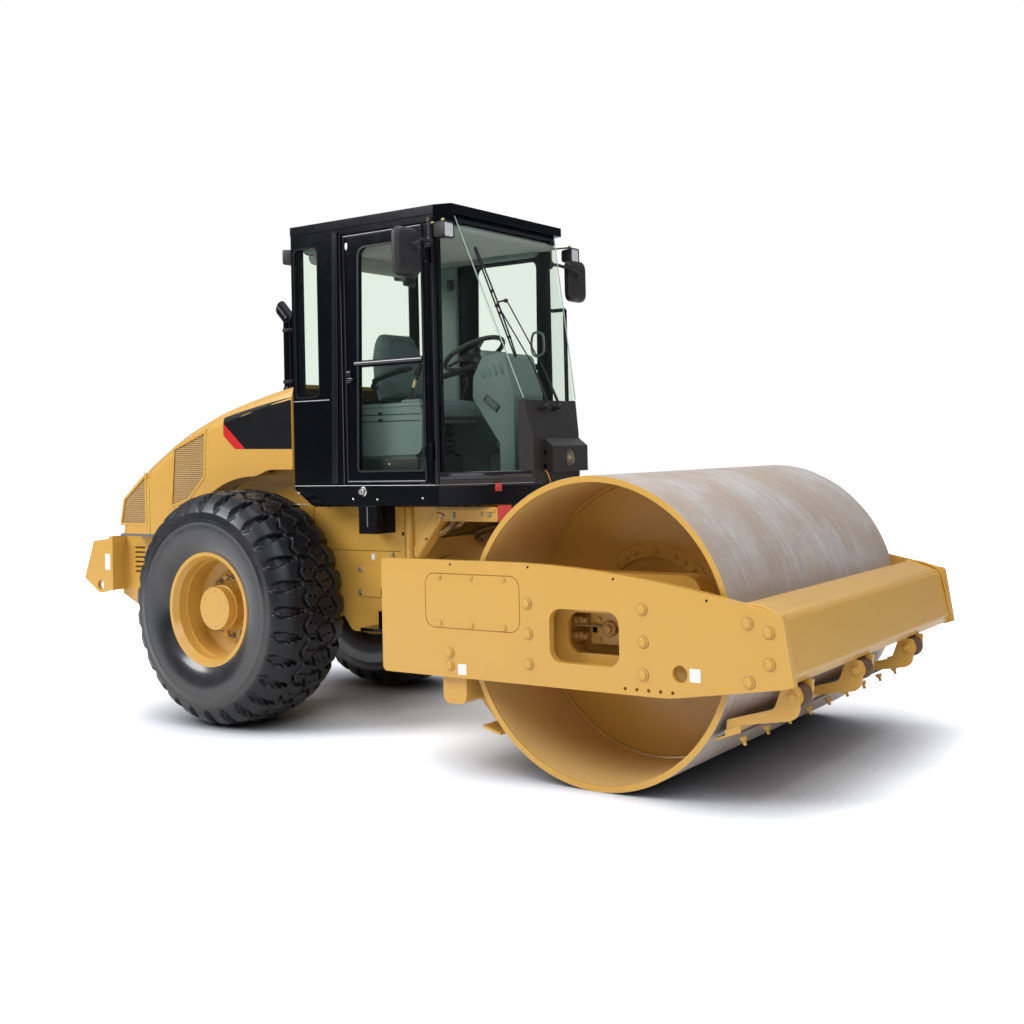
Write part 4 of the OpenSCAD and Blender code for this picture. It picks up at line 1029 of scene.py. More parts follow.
def hood_details(side, word):
    """Stripe panel, mesh borders and screws, seam, arch lip and lower seal of one side of the hood."""
    x = np.linspace(-1.337, -0.703, 40)
    black = Solid()
    clear = np.interp(x, [-1.337, -0.684], [0.054, 0.083])
    hood_patch(black, side, x, np.interp(x, [-1.337, -1.228, -0.693], [1.813, 1.722, 1.711]),
               hood_top(x) - clear, 0.0010)
    black.piece("stripe_panel_" + word, "stripe_black", "hood")
    red = Solid()
    x = np.linspace(-1.335, -1.132, 16)
    hood_patch(red, side, x, np.interp(x, [-1.337, -1.228, -1.132], [1.815, 1.7235, 1.7215]),
               np.interp(x, [-1.337, -1.132], [1.893, 1.7220]), 0.0016, 6)
    red.piece("stripe_wedge_" + word, "stripe_red", "hood")

    rim, screws = Solid(), Solid()
    for field in MESH_FIELDS:
        outer, inner = inset(field, -0.012), inset(field, 0.006)
        n = len(field)
        for i in range(n):
            j = (i + 1) % n
            prism(rim, [inner[i], inner[j], outer[j], outer[i]], side * 0.5975, side * 0.6030)
        places = along(inset(field, -0.022), 0.085)
        put(screws, round_head(0.0052, 0.004, 12), side_places(places, side * 0.5995), (0, side, 0))
    seam_path = np.concatenate([[(0.6004, 1.156)], np.stack([hood_side(-2.1,
            hood_top(-2.1) - np.array([0.1, 0.05, 0.014])),
        hood_top(-2.1) - np.array([0.1, 0.05, 0.014])], -1) + (0.0004, 0.0), [(0.512, hood_top(-2.1) + 0.001)],
        [(0.0, hood_top(-2.1) + 0.001)]])
    seam = Solid()
    path = np.stack([np.full(len(seam_path), -2.1), side * seam_path[:, 0], seam_path[:, 1]], -1)
    swept(seam, [(-0.0007, -0.0016), (0.0007, -0.0016), (0.0007, 0.0016), (-0.0007, 0.0016)], path,
          up=(1, 0, 0))
    rim.piece("mesh_borders_" + word, "yellow_paint", "hood")
    screws.piece("mesh_screws_" + word, "brass", "hood")
    seam.piece("hood_seam_" + word, "seam", "hood")

    # arch lip: the wheel circle, then an S from its top up to the flat roof of the front part
    turn = np.radians(np.linspace(177.5, 92, 44))
    low = np.stack([WHEEL_X + ARCH_R * np.cos(turn), TYRE_R + ARCH_R * np.sin(turn)], -1)
    t = np.linspace(0, 1, 14)
    ease = np.stack([WHEEL_X + 0.168 * t, 1.542 + 0.041 * t * t * (3 - 2 * t)], -1)
    low = np.concatenate([low[low[:, 1] > 1.156], ease, [(-0.702, 1.583)]])
    run = np.gradient(low, axis=0)
    out = np.stack([-run[:, 1], run[:, 0]], -1) / np.linalg.norm(run, axis=1)[:, None]
    high = low + out * 0.012
    high[:, 1] = np.where((low[:, 0] > -1.10) & (low[:, 0] < -0.80), np.maximum(high[:, 1], 1.594), high[:, 1])
    lip, n = Solid(), len(low)
    ys = (0.570, 0.6045)
    corners = np.stack([np.stack([low[:, 0], np.full(n, side * ys[0]), low[:, 1]], -1),
                        np.stack([low[:, 0], np.full(n, side * ys[1]),
        low[:, 1]], -1), np.stack([high[:, 0], np.full(n, side * ys[1]), high[:, 1]], -1), np.stack([high[:, 0],
        np.full(n, side * ys[0]), high[:, 1]], -1)], 1)
    lip.add(corners, [grid_faces(n, 4, wrap_v=True), np.arange(4)[::-1], np.arange(4) + 4 * (n - 1)])
    lip.piece("arch_lip_" + word, "yellow_paint", "hood")
    seal = Solid()
    prism(seal, box_outline((0.562, 1.137), (0.603, 1.1535), 0.005) * (side, 1), -2.422, -1.764, across="X",
          edge=0.002)
    seal.piece("hood_seal_" + word, "seal_grey", "hood")


def hood_rear():
    """Louvres and handle on the hood's rear face, a near-black panel behind the louvres as painted shade, and the
    clamps of the exhaust.
    """
    tilt = turn_about("Y", 17.35)
    up = tilt @ np.array([0.0, 0.0, 1.0])
    back = tilt @ np.array([-1.0, 0.0, 0.0])
    middle = np.array([-2.396, 0.0, 1.336]) + back * 0.001
    dark, bars, handle = Solid(), Solid(), Solid()
    # near-black panel behind the louvres: painted shade of the recess
    soft_box(dark, (-0.003, -0.43, -0.095), (0.003, 0.43, 0.095), 0.002, 1, tilt, middle)
    for i in range(9):
        soft_box(bars, (-0.006, -0.425, -0.0065), (0.006, 0.425, 0.0065), 0.003, 1, turn_about("Y", 17.35 + 38),
                 middle + up * (-0.080 + 0.02 * i) + back * 0.005)
    for y in (-0.432, 0.0, 0.432):
        soft_box(bars, (-0.007, -0.008, -0.100), (0.007, 0.008, 0.100), 0.003, 1, tilt,
                 middle + back * 0.004 + np.array([0, y, 0]))
    dark.piece("rear_louvre_shade_panel", "joint_and_shade_dark", "hood")
    bars.piece("rear_louvres", "yellow_paint", "hood")
    spot = middle + up * 0.150 + back * 0.002
    tube(handle, curve([spot + (0, -0.09, 0), spot + back * 0.035 + (0, -0.075, 0), spot + back * 0.038,
                        spot + back * 0.035 + (0, 0.075, 0),
                        spot + (0, 0.09, 0)], 6), 0.009, 12)
    handle.piece("hood_handle", "black_plastic", "hood")
    clamp = Solid()
    for z, radius in ((2.185, 0.0505), (2.545, 0.0495)):
        turned(clamp, [(0.042, z - 0.012), (radius, z - 0.012), (radius + 0.003, z - 0.008),
                       (radius + 0.003, z + 0.008),
                       (radius, z + 0.012), (0.042, z + 0.012)], (-1.330, 0, 0), axis="Z", steps=48)
    clamp.piece("exhaust_clamps", "black_plastic", "hood")


for side, word in SIDES:
    hood_details(side, word)
hood_rear()


# Frame
def bar(solid, a, b, width, height, up=(0, 1, 0)):
    """A flat bar from a to b, width across and height along up."""
    w, h = width / 2, height / 2
    swept(solid, [(-w, -h), (w, -h), (w, h), (-w, h)], [a, b], up=up)


def frame_details(side, word):
    """Covers, ribs, bolts, labels, hoses and lamps of one side of the rear frame."""
    out = side * FRAME_Y
    panels, bolts, dark, silver = Solid(), Solid(), Solid(), Solid()
    prism(panels, box_outline((-0.318, 0.785), (-0.066, 0.975), 0.018), out, out + side * 0.008, edge=0.0015)
    put(bolts, hex_head(0.0125, 0.009, 0.0175, 0.003), side_places([(-0.294, 0.810), (-0.294, 0.951),
                                                                    (-0.090, 0.951)],
        out + side * 0.008), (0, side, 0))
    prism(dark, box_outline((-0.128, 0.786), (-0.068, 0.842), 0.012), out + side * 0.0078, out + side * 0.0092)
    prism(dark, box_outline((-0.540, 1.0665), (0.038, 1.0695)), out, out + side * 0.0008)
    prism(dark, rounded([[0.045, 1.166, 0.004], [0.062, 1.166, 0.004], [0.062, 1.188, 0.004],
                         [0.045, 1.188, 0.004]]),
          out, out + side * 0.0006)
    prism(panels, box_outline((-0.694, 1.126), (-0.541, 1.338), 0.004), side * 0.402, side * 0.424)
    # ribs on the cab's bracket and their bolts
    inner = side * 0.400
    for a, b in (((0.174, 1.108), (0.300, 1.300)), ((0.292, 1.215), (0.330, 1.259)),
                 ((0.298, 1.318), (0.740, 1.322))):
        bar(panels, (a[0], inner + side * 0.004, a[1]), (b[0], inner + side * 0.004, b[1]), 0.014, 0.012)
    prism(panels, box_outline((0.300, 1.270), (0.318, 1.312), 0.003), inner, inner + side * 0.014)
    prism(panels, rounded([[0.130, 1.036, 0.004], [0.152, 1.036, 0.004], [0.344, 1.266, 0.010],
                           [0.344, 1.302, 0.006], [0.292, 1.302, 0.010],
                           [0.126, 1.096, 0.004]]), inner, inner + side * 0.012, edge=0.002)
    for a, b in (((0.153, 1.034), (0.339, 1.260)), ((0.342, 1.2595), (0.757, 1.2595))):
        bar(panels, (a[0], side * 0.368, a[1]), (b[0], side * 0.368, b[1]), 0.008, 0.070)
    if side < 0:
        # light grey strip down the tool box: a painted highlight line
        strip = Solid()
        prism(strip, box_outline((-0.084, 1.228), (-0.076, 1.348), 0.002), side * 0.5905, side * 0.5925)
        strip.piece("tool_box_highlight_strip", "seal_grey", "rear_frame")
    put(silver, hex_head(0.0105, 0.009, 0.014, 0.003), side_places([(0.432, 1.302), (0.432, 1.280),
                                                                    (0.348, 1.288), (0.228, 1.147),
        (0.640, 1.296), (0.700, 1.296)], inner), (0, side, 0))
    put(silver, hex_head(0.012, 0.014), side_places([(-0.026, 1.048)], out), (0, side, 0))
    red = Solid()
    prism(red, box_outline((0.760, 1.264), (0.856, 1.352), 0.006), inner - side * 0.012, inner, edge=0.0015)
    red.piece("bracket_end_" + word, "red_paint", "rear_frame")
    labels = Solid()
    prism(labels, box_outline((-0.206, 1.014), (-0.180, 1.050), 0.003), out, out + side * 0.0009)
    prism(labels, box_outline((-2.685, 0.884), (-2.628, 0.998), 0.004), side * 0.540, side * 0.5409)
    labels.piece("frame_labels_" + word, "white_plate", "rear_frame")
    panels.piece("frame_covers_" + word, "yellow_paint", "rear_frame")
    bolts.piece("frame_bolts_" + word, "satin_nut", "rear_frame")
    dark.piece("frame_seams_" + word, "joint_and_shade_dark", "rear_frame")
    silver.piece("bracket_bolts_" + word, "satin_nut", "rear_frame")

    hoses = Solid()
    for i, (x, y) in enumerate(((0.16, 0.345), (0.20, 0.320), (0.24, 0.350), (0.29, 0.315))):
        tube(hoses, curve([(0.046, side * (y - 0.03), 1.085 + 0.015 * i), (0.11, side * y, 1.10 + 0.02 * i),
                           (x + 0.09, side * y, 1.165 + 0.018 * i),
                           (x + 0.15, side * (y - 0.02), 1.255 + 0.01 * i),
                           (x + 0.14, side * (y - 0.05), 1.352)], 8), 0.0135, 12)
    hoses.piece("valve_hoses_" + word, "hose", "rear_frame")

    lamp = Solid()
    put(lamp, disc(32, (0.048, 0.0), (0.048, 0.014), (0.042, 0.020)), [(-2.640, side * 0.310, 1.02)],
        (-1, 0, 0))
    lamp.piece("tail_lamp_ring_" + word, "black_plastic", "rear_frame")
    lens = Solid()
    put(lens, round_head(0.040, 0.014, 28), [(-2.659, side * 0.310, 1.02)], (-1, 0, 0))
    lens.piece("tail_lamp_" + word, "red_lens", "rear_frame")


def tail_welds():
    """Upright weld runs where the tail box and its ears meet the frame sides."""
    welds = Solid()
    for y in (0.4285, -0.4285):
        tube(welds, [(-2.598, y, 0.75), (-2.598, y, 1.12)], 0.005, 8)
    for y in (0.5035, -0.5035):
        tube(welds, [(-2.643, y, 0.76), (-2.643, y, 1.09)], 0.005, 8)
    welds.piece("frame_welds", "yellow_paint", "rear_frame")


for side, word in SIDES:
    frame_details(side, word)
tail_welds()


# Cab
DOOR_PANE = rounded([[-0.150, 1.560, 0.020], [0.380, 1.560, 0.020], [0.400, 2.926, 0.060],
                     [-0.120, 2.926, 0.060]])
REAR_PANE = rounded([[-0.665, 2.025, 0.030], [-0.455, 2.025, 0.040], [-0.455, 2.966, 0.040],
                     [-0.665, 2.966, 0.030]])
QUARTER = np.array([0.629, 0.777, 0.0])
ALONG_QUARTER = np.array([0.777, -0.629, 0.0])


def on_side(side, points):
    """The places mirrored to one side."""
    return np.asarray(points, dtype=float) * (1, side, 1)


def band(solid, outline, y, width, depth):
    """A closed strip along an outline in X and Z at a distance y, width across the strip and depth along Y."""
    path = np.stack([outline[:, 0], np.full(len(outline), y), outline[:, 1]], -1)
    w, h = width / 2, depth / 2
    swept(solid, [(-w, -h), (w * 0.7, -h), (w, -h * 0.4), (w, h * 0.4), (w * 0.7, h), (-w, h)], path,
          closed=True, up=(0, 1, 0))


def cab_side(side, word):
    """Window seals, posts, ledges, latch, fittings and trim of one side of the cab."""
    body = "door_" + word
    seals, posts = Solid(), Solid()
    band(seals, inset(DOOR_PANE, 0.003), side * 0.5875, 0.012, 0.010)
    seals.piece("door_seal_" + word, "black_plastic", body)
    y = side * 0.590
    for x, low, high in ((0.391, 1.500, 3.000), (-0.232, 1.500, 3.000)):
        tube(posts, [(x, y, low), (x, y, high)], 0.0095, 12)
    for z in (1.500, 3.000):
        tube(posts, [(-0.232, y, z), (0.391, y, z)], 0.008, 12)
    tube(posts, [(-0.150, side * 0.592, 2.216), (0.386, side * 0.592, 2.216)], 0.016, 16)
    soft_box(posts, (-0.222, side * 0.586, 2.100), (-0.182, side * 0.609, 2.176), 0.008)
    soft_box(posts, (-0.214, side * 0.604, 2.112), (-0.156, side * 0.617, 2.132), 0.005)
    posts.piece("door_posts_" + word, "gloss_black", body)
    plate = Solid()
    turn = np.linspace(0, 2 * math.pi, 28, endpoint=False)
    prism(plate, np.stack([-0.212 + 0.010 * np.cos(turn), 2.941 + 0.023 * np.sin(turn)], -1), side * 0.5885,
          side * 0.5915, edge=0.001)
    plate.piece("door_lock_plate_" + word, "chrome_rod", body)

    trim = Solid()
    band(trim, inset(REAR_PANE, 0.003), side * 0.5895, 0.012, 0.010)
    tube(trim, [(-0.684, side * 0.592, 2.006), (-0.372, side * 0.592, 2.006)], 0.0045, 8)
    a, b = np.array([-0.338, side * 0.594, 1.490]), np.array([-0.303, side * 0.594, 3.035])
    swept(trim, box_outline((-0.006, -0.024), (0.006, 0.024), 0.005, 3), [a, b], up=(1, 0, 0))
    tube(trim, [(-0.262, side * 0.592, 1.490), (-0.262, side * 0.592, 3.030)], 0.006, 10)
    tube(trim, [(0.468, side * 0.587, 1.476), (0.468, side * 0.587, 3.040)], 0.011, 14)
    tube(trim, [(-0.686, side * 0.592, 1.476), (0.480, side * 0.592, 1.476), (0.912, side * 0.242, 1.476)],
         0.0045, 8, up=(0, 0, 1))
    tube(trim, [(-0.686, side * 0.592, 1.362), (-0.560, side * 0.592, 1.362)], 0.003, 8)
    centre = on_side(side, np.array([0.480, CAB_Y, 0]) + 0.5 * 0.556 * ALONG_QUARTER + QUARTER * 0.001) + (0, 0,
            1.528)
    turn = turn_about("Z", -side * 39.0)
    soft_box(trim, (-0.268, -0.004, -0.022), (0.268, 0.004, 0.022), 0.003, 2, turn, centre)
    trim.piece("cab_trim_" + word, "gloss_black", "rear_frame")

    seams = Solid()
    out = side * CAB_Y
    for a, b in (((-0.349, 1.462), (-0.292, 1.362)), ((0.386, 1.460), (0.386, 1.358))):
        bar(seams, (a[0], out, a[1]), (b[0], out, b[1]), 0.004, 0.0016)
    oval = np.stack([0.045 * np.cos(np.linspace(0, 2 * math.pi, 28, endpoint=False)),
                     0.031 * np.sin(np.linspace(0, 2 * math.pi, 28,
        endpoint=False))], -1)
    across, normal = on_side(side, ALONG_QUARTER), on_side(side, QUARTER)
    spot = np.array([0.737, side * 0.3838, 1.456])
    rings = [spot + normal * lift + np.outer(oval[:, 0], across) + np.outer(oval[:, 1],
            (0, 0, 1)) for lift in (-0.001, 0.0012)]
    seams.add(*stack(rings))
    seams.piece("skirt_seams_" + word, "joint_and_shade_dark", "rear_frame")
    red = Solid()
    soft_box(red, (-0.020, -0.006, -0.024), (0.020, 0.006, 0.024), 0.004, 2, turn,
             spot + across * 0.018 + normal * 0.005)
    soft_box(red, (-0.008, -0.008, -0.008), (0.008, 0.008, 0.008), 0.003, 2, turn,
             spot + across * 0.018 + normal * 0.012)
    red.piece("battery_switch_" + word, "red_paint", "rear_frame")
    fit = Solid()
    put(fit, disc(28, (0.030, 0.0), (0.030, 0.006), (0.024, 0.010), (0.021, 0.020), (0.017, 0.026)),
        [(-0.107, out, 1.440)], (0, side, 0))
    put(fit, round_head(0.0075, 0.005), side_places([(-0.194, 1.395), (0.003, 1.392), (-0.66, 1.43),
                                                     (0.36, 1.40)], out), (0, side, 0))
    fit.piece("skirt_fittings_" + word, "chrome_rod", "rear_frame")
    # the joint where the corner glass meets the windscreen
    edge = Solid()
    tube(edge, on_side(side, [(0.8715, 0.2725, 1.975), (0.5775, 0.5095, 3.044)]), 0.0035, 8)
    edge.piece("glass_joint_" + word, "glass_edge", "rear_frame")
    # inner pillar cover between the door and the rear window, and the rounded lining over the door
    lining = Solid()
    soft_box(lining, (-0.462, side * 0.516, 1.480), (-0.252, side * 0.549, 3.000), 0.016)
    soft_box(lining, (-0.640, side * 0.470, 2.935), (0.440, side * 0.549, 3.012), 0.030)
    lining.piece("pillar_lining_" + word, "grey_plastic", "rear_frame")


def cab_lining():
    """Soft headlining with a raised rear edge, low linings, floor mat, inner mirror, lamp and the grab loop."""
    lining, mat, dark = Solid(), Solid(), Solid()
    soft_box(lining, (-0.640, -0.545, 2.965), (0.560, 0.545, 3.012), 0.022)
    soft_box(lining, (-0.648, -0.500, 2.880), (-0.560, 0.500, 3.005), 0.040)
    lining.piece("headlining", "headlining", "rear_frame")
    soft_box(mat, (-0.640, -0.540, 1.466), (0.440, 0.540, 1.476), 0.004)
    mat.piece("floor_mat", "floor_mat", "rear_frame")
    soft_box(dark, (-0.648, -0.545, 1.480), (-0.560, 0.545, 1.960), 0.030)
    for side in (1, -1):
        soft_box(dark, (-0.300, side * 0.455, 1.478), (0.230, side * 0.475, 1.640), 0.008)
    dark.piece("cab_low_panels", "black_plastic", "rear_frame")
    screws = Solid()
    put(screws, round_head(0.0085, 0.005), [(-0.26, -0.475, 1.515), (0.19, -0.475, 1.515),
                                            (-0.26, -0.475, 1.60), (0.0, -0.475, 1.60)], (0, -1, 0))
    screws.piece("cab_screws", "brass", "rear_frame")
    things = Solid()
    soft_box(things, (0.110, -0.450, 2.682), (0.140, -0.350, 2.745), 0.012)
    tube(things, curve([(0.130, -0.400, 2.740), (0.150, -0.410, 2.85), (0.150, -0.440, 2.970)], 6), 0.006, 10)
    soft_box(things, (-0.318, 0.488, 2.775), (-0.262, 0.506, 2.850), 0.010)
    soft_box(things, (-0.306, 0.476, 2.790), (-0.274, 0.492, 2.825), 0.008)
    things.piece("cab_mirror_and_lamp", "black_plastic", "rear_frame")
    loop = Solid()
    tube(loop, curve([(0.398, 0.505, 2.430), (0.450, 0.505, 2.434), (0.478, 0.505, 2.405),
                      (0.478, 0.505, 2.315), (0.450, 0.505, 2.286),
                      (0.398, 0.505, 2.290), (0.380, 0.505, 2.36)], 6, True), 0.008, 12, closed=True,
                      up=(0, 1, 0))
    loop.piece("grab_loop", "grey_plastic", "rear_frame")


def wipers():
    """Two arms side by side on the windscreen, their heads, the link at the top and the long blade."""
    arms, blade = Solid(), Solid()
    lean = np.array([0.964, 0.0, 0.265])
    for pivot, low, middle, top in (((0.912, -0.119, 1.920), (0.910, -0.100, 1.925), (0.844, -0.141, 2.168),
                                     (0.748, -0.344, 2.518)),
                                    ((0.912, 0.017, 1.922), (0.906, 0.012, 1.935), (0.839, -0.056, 2.187),
                                     (0.738, -0.243, 2.556))):
        pivot, low, middle, top = (np.array(p) for p in (pivot, low, middle, top))
        put(arms, disc(20, (0.017, -0.04), (0.017, 0.012), (0.012, 0.018)), [pivot + lean * 0.012], lean)
        path = curve([low + lean * 0.02, (low + middle) / 2 + lean * 0.016, middle + lean * 0.008], 6)
        swept(arms, box_outline((-0.0105, -0.006), (0.0105, 0.006), 0.004, 2), path, up=lean,
              size=np.linspace(1.0, 0.62, len(path)))
        tube(arms, [middle + lean * 0.008, top + lean * 0.006], 0.0042, 8)
        soft_box(arms, top - 0.012, top + 0.012, 0.008, 2)
    tube(arms, [np.array((0.752, -0.350, 2.535)) + lean * 0.004,
                np.array((0.736, -0.236, 2.560)) + lean * 0.004], 0.006, 8)
    arms.piece("wiper_arms", "black_plastic", "rear_frame")
    a, b = np.array((0.653, -0.411, 2.866)), np.array((0.831, -0.272, 2.215))
    t = np.linspace(0, 1, 16)[:, None]
    line = a + (b - a) * t
    bow = lean * (0.010 * 4 * t * (1 - t))
    tube(blade, line - lean * 0.012, 0.005, 8)
    swept(blade, box_outline((-0.007, -0.0025), (0.007, 0.0025), 0.002, 2), line + bow - lean * 0.002, up=lean)
    for k in (0.18, 0.40, 0.60, 0.82):
        soft_box(blade, a + (b - a) * k - 0.009, a + (b - a) * k + 0.009, 0.005, 2)
    blade.piece("wiper_blade", "black_plastic", "rear_frame")


def front_panel():
    """Vent rings, cable, ribs and screws of the front panel and its air box."""
    centre = (0.960, 0.060, 1.618)
    rings, brass = Solid(), Solid()
    for radius in (0.046, 0.034, 0.022):
        turned(rings, circle(0.0022, 8) + (radius, 0.0065), centre, axis="X", steps=56)
    for angle in np.radians([0, 45, 90, 135]):
        way = np.array([0.0, math.cos(angle), math.sin(angle)])
        tube(rings, [np.array(centre) + (0.006, 0, 0) - way * 0.048,
                     np.array(centre) + (0.006, 0, 0) + way * 0.048], 0.0017, 6)
    put(brass, disc(24, (0.014, 0.0), (0.014, 0.008), (0.010, 0.010)), [centre], (1, 0, 0))
    rings.piece("vent_rings", "satin_nut", "rear_frame")
    brass.piece("vent_hub", "brass", "rear_frame")
    cable, screws, box = Solid(), Solid(), Solid()
    tube(cable, curve([(0.905, -0.128, 1.545), (0.925, -0.126, 1.535), (0.930, -0.112, 1.500),
                       (0.922, -0.090, 1.475), (0.906, -0.080, 1.462)], 6),
         0.0042, 10)
    cable.piece("panel_cable", "cable_orange", "rear_frame")
    put(screws, round_head(0.009, 0.005), [(0.912, y, z) for y in (-0.205, 0.205) for z in (1.50, 1.735)],
        (1, 0, 0))
    slope = np.array([0.981, 0.0, 0.193])
    put(screws, round_head(0.008, 0.005), [(0.9025, y, 1.810) for y in (-0.19, 0.19)] + [(0.877, y,
            1.935) for y in (-0.19, 0.19)], slope)
    put(screws, round_head(0.006, 0.004), [(0.974, y, z) for y in (-0.115, 0.226) for z in (1.550, 1.672)],
        (1, 0, 0))
    screws.piece("panel_screws", "black_plastic", "rear_frame")
    tube(box, [(0.905, -0.205, 1.7615), (0.905, 0.205, 1.7615)], 0.004, 8)
    soft_box(box, (0.900, -0.136, 1.640), (0.930, -0.128, 1.662), 0.003)
    soft_box(box, (0.900, -0.137, 1.560), (0.930, -0.128, 1.582), 0.003)
    box.piece("panel_ridge", "black_paint", "rear_frame")


def mirror_pair():
    """Round-backed mirrors: a rounded outline that narrows towards the front, its glass, arm and ball joint."""
    shells, glasses = Solid(), Solid()
    outline = rounded([[-0.103, -0.140, 0.050], [0.103, -0.140, 0.050], [0.103, 0.140, 0.050],
                       [-0.103, 0.140, 0.050]], 6)
    for side in (1, -1):
        c = np.array([0.512, side * 0.855, 2.800])
        rings = []
        for x, grow in ((-0.022, 0.93), (-0.025, 0.96), (-0.025, 0.99), (-0.020, 1.0), (-0.008, 1.0),
                        (0.004, 0.985), (0.014, 0.94),
                        (0.021, 0.85), (0.0245, 0.70), (0.0255, 0.45)):
            ring = outline * grow
            rings.append(np.stack([np.full(len(ring), x), ring[:, 0], ring[:, 1]], -1) + c)
        shells.add(*stack(rings))
        glass = outline * 0.925
        glasses.add(*stack([np.stack([np.full(len(glass), x), glass[:, 0], glass[:, 1]],
                                     -1) + c for x in (-0.0225, -0.0212)]))
        tube(shells, on_side(side, curve([(0.471, 0.591, 2.895), (0.471, 0.640, 2.895), (0.484, 0.700, 2.893),
                                          (0.520, 0.760, 2.875),
                                          (0.545, 0.815, 2.846)], 8)), 0.011, 12)
        put(shells, round_head(0.024, 0.030, 20), [(0.534, side * 0.825, 2.836)], (1, 0, 0))
        put(shells, disc(20, (0.020, 0.0), (0.020, 0.014), (0.014, 0.018)), [(0.548, side * 0.825, 2.836)],
            (1, 0, 0))
        tube(shells, on_side(side, [(0.471, 0.612, 2.862), (0.471, 0.612, 3.038)]), 0.013, 14)
        soft_box(shells, (0.455, side * 0.594, 2.870), (0.488, side * 0.630, 2.915), 0.006)
        soft_box(shells, (0.458, side * 0.594, 3.000), (0.486, side * 0.626, 3.030), 0.006)
    shells.piece("mirror_shells", "mirror_shell", "rear_frame", "black_paint", stands_for=("mirrors",))
    glasses.piece("mirror_glasses", "mirror_glass", "rear_frame")


def work_lamps():
    """Round-cornered work lamps with fluted glass, ribs behind and their brackets."""
    shells, glasses, bolts = Solid(), Solid(), Solid()
    for side in (1, -1):
        for c, face in (((0.606, side * 0.6475, 2.9375), 1), ((-0.741, side * 0.525, 2.9375), -1)):
            c = np.array(c)
            rings = []
            for x, half in ((-0.044, 0.030), (-0.044, 0.034), (-0.036, 0.040), (0.026, 0.046), (0.032, 0.0475),
                            (0.043, 0.0475),
                            (0.044, 0.046), (0.044, 0.041), (0.036, 0.040)):
                ring = box_outline((-half, -half), (half, half), half * 0.3)
                rings.append(np.stack([np.full(len(ring), face * x), ring[:, 0], ring[:, 1]], -1) + c)
            shells.add(*stack(rings))
            lens = box_outline((-0.040, -0.040), (0.040, 0.040), 0.012)
            glasses.add(*stack([np.stack([np.full(len(lens), face * x), lens[:, 0] * k, lens[:, 1] * k], -1) + c
                                for x, k in ((0.035, 1.0), (0.040, 1.0), (0.042, 0.92))]))
            for y in (-0.028, -0.014, 0.0, 0.014, 0.028):
                soft_box(shells, c + (face * -0.044, y - 0.002, -0.030), c + (face * -0.030, y + 0.002, 0.030),
                         0.0015, 1)
        # brackets: a plate from the cab's corner to the front lamp, and a stem from the roof to the rear lamp
        soft_box(shells, (0.456, side * 0.591, 2.958), (0.484, side * 0.604, 3.034), 0.004)
        bar(shells, (0.460, side * 0.604, 2.990), (0.606, side * 0.640, 2.992), 0.030, 0.006, up=(0, 0, 1))
        tube(shells, [(0.606, side * 0.6475, 2.980), (0.606, side * 0.6475, 2.996)], 0.010, 12)
        put(bolts, hex_head(0.010, 0.008, 0.013, 0.002), [(0.606, side * 0.6475, 2.996),
                                                          (0.50, side * 0.615, 2.993)], (0, 0, 1))
        tube(shells, curve([(-0.741, side * 0.525, 2.982), (-0.738, side * 0.525, 3.006),
                            (-0.715, side * 0.525, 3.018), (-0.690, side * 0.525, 3.020)], 6), 0.010, 12)
        put(bolts, hex_head(0.009, 0.008, 0.012, 0.002), [(-0.741, side * 0.525, 2.990)], (0, 0, 1))
    shells.piece("lamp_shells", "mirror_shell", "rear_frame", "black_paint", stands_for=("work_lights",))
    glasses.piece("lamp_glasses", "lamp_glass", "rear_frame")
    bolts.piece("lamp_bolts", "brass", "rear_frame")


for side, word in SIDES:
    cab_side(side, word)
cab_lining()
wipers()
front_panel()
mirror_pair()
work_lamps()


# Inside the cab
PAD_GRID, PAD_PRESSURE, PAD_FRAMES, PAD_FILL = 0.006, 4.0, 20, 0.8


def pad(name, form, swell):
    """A stuffed piece: the form remeshed, blown up by a short cloth run with the rise capped, and subdivided once."""
    solid = Solid()
    solid.add(*form)
    thing = solid.piece(name, "seat_fabric", "rear_frame", smooth=180.0)
    scene = bpy.context.scene
    remesh = thing.modifiers.new("remesh", "REMESH")
    remesh.mode, remesh.voxel_size = "VOXEL", PAD_GRID
    apply_all(thing)
    rest = coordinates(thing.data)
    cloth = thing.modifiers.new("cloth", "CLOTH")
    cloth.settings.use_pressure, cloth.settings.uniform_pressure_force = True, PAD_PRESSURE
    cloth.settings.effector_weights.gravity = 0.0
    cloth.settings.quality = 4
    cloth.point_cache.frame_start, cloth.point_cache.frame_end = 1, PAD_FRAMES
    for moment in range(1, PAD_FRAMES + 1):
        scene.frame_set(moment)
    apply_all(thing)
    moved = coordinates(thing.data) - rest
    far = np.linalg.norm(moved, axis=1)[:, None]
    thing.data.vertices.foreach_set("co", (rest + moved * np.minimum(1.0,
            swell / np.maximum(far, 1e-9))).ravel())
    scene.frame_set(1)
    smoother = thing.modifiers.new("subdivide", "SUBSURF")
    smoother.levels = smoother.render_levels = 1
    apply_all(thing)
    thing.data.shade_smooth()
    return thing


def coordinates(mesh):
    """All vertex places of a mesh."""
    flat = np.empty(len(mesh.vertices) * 3)
    mesh.vertices.foreach_get("co", flat)
    return flat.reshape(-1, 3)


def apply_all(thing):
    """Replaces the mesh by what its modifiers make of it."""
    graph = bpy.context.evaluated_depsgraph_get()
    made = bpy.data.meshes.new_from_object(thing.evaluated_get(graph), depsgraph=graph)
    thing.modifiers.clear()
    old, thing.data = thing.data, made
    bpy.data.meshes.remove(old)


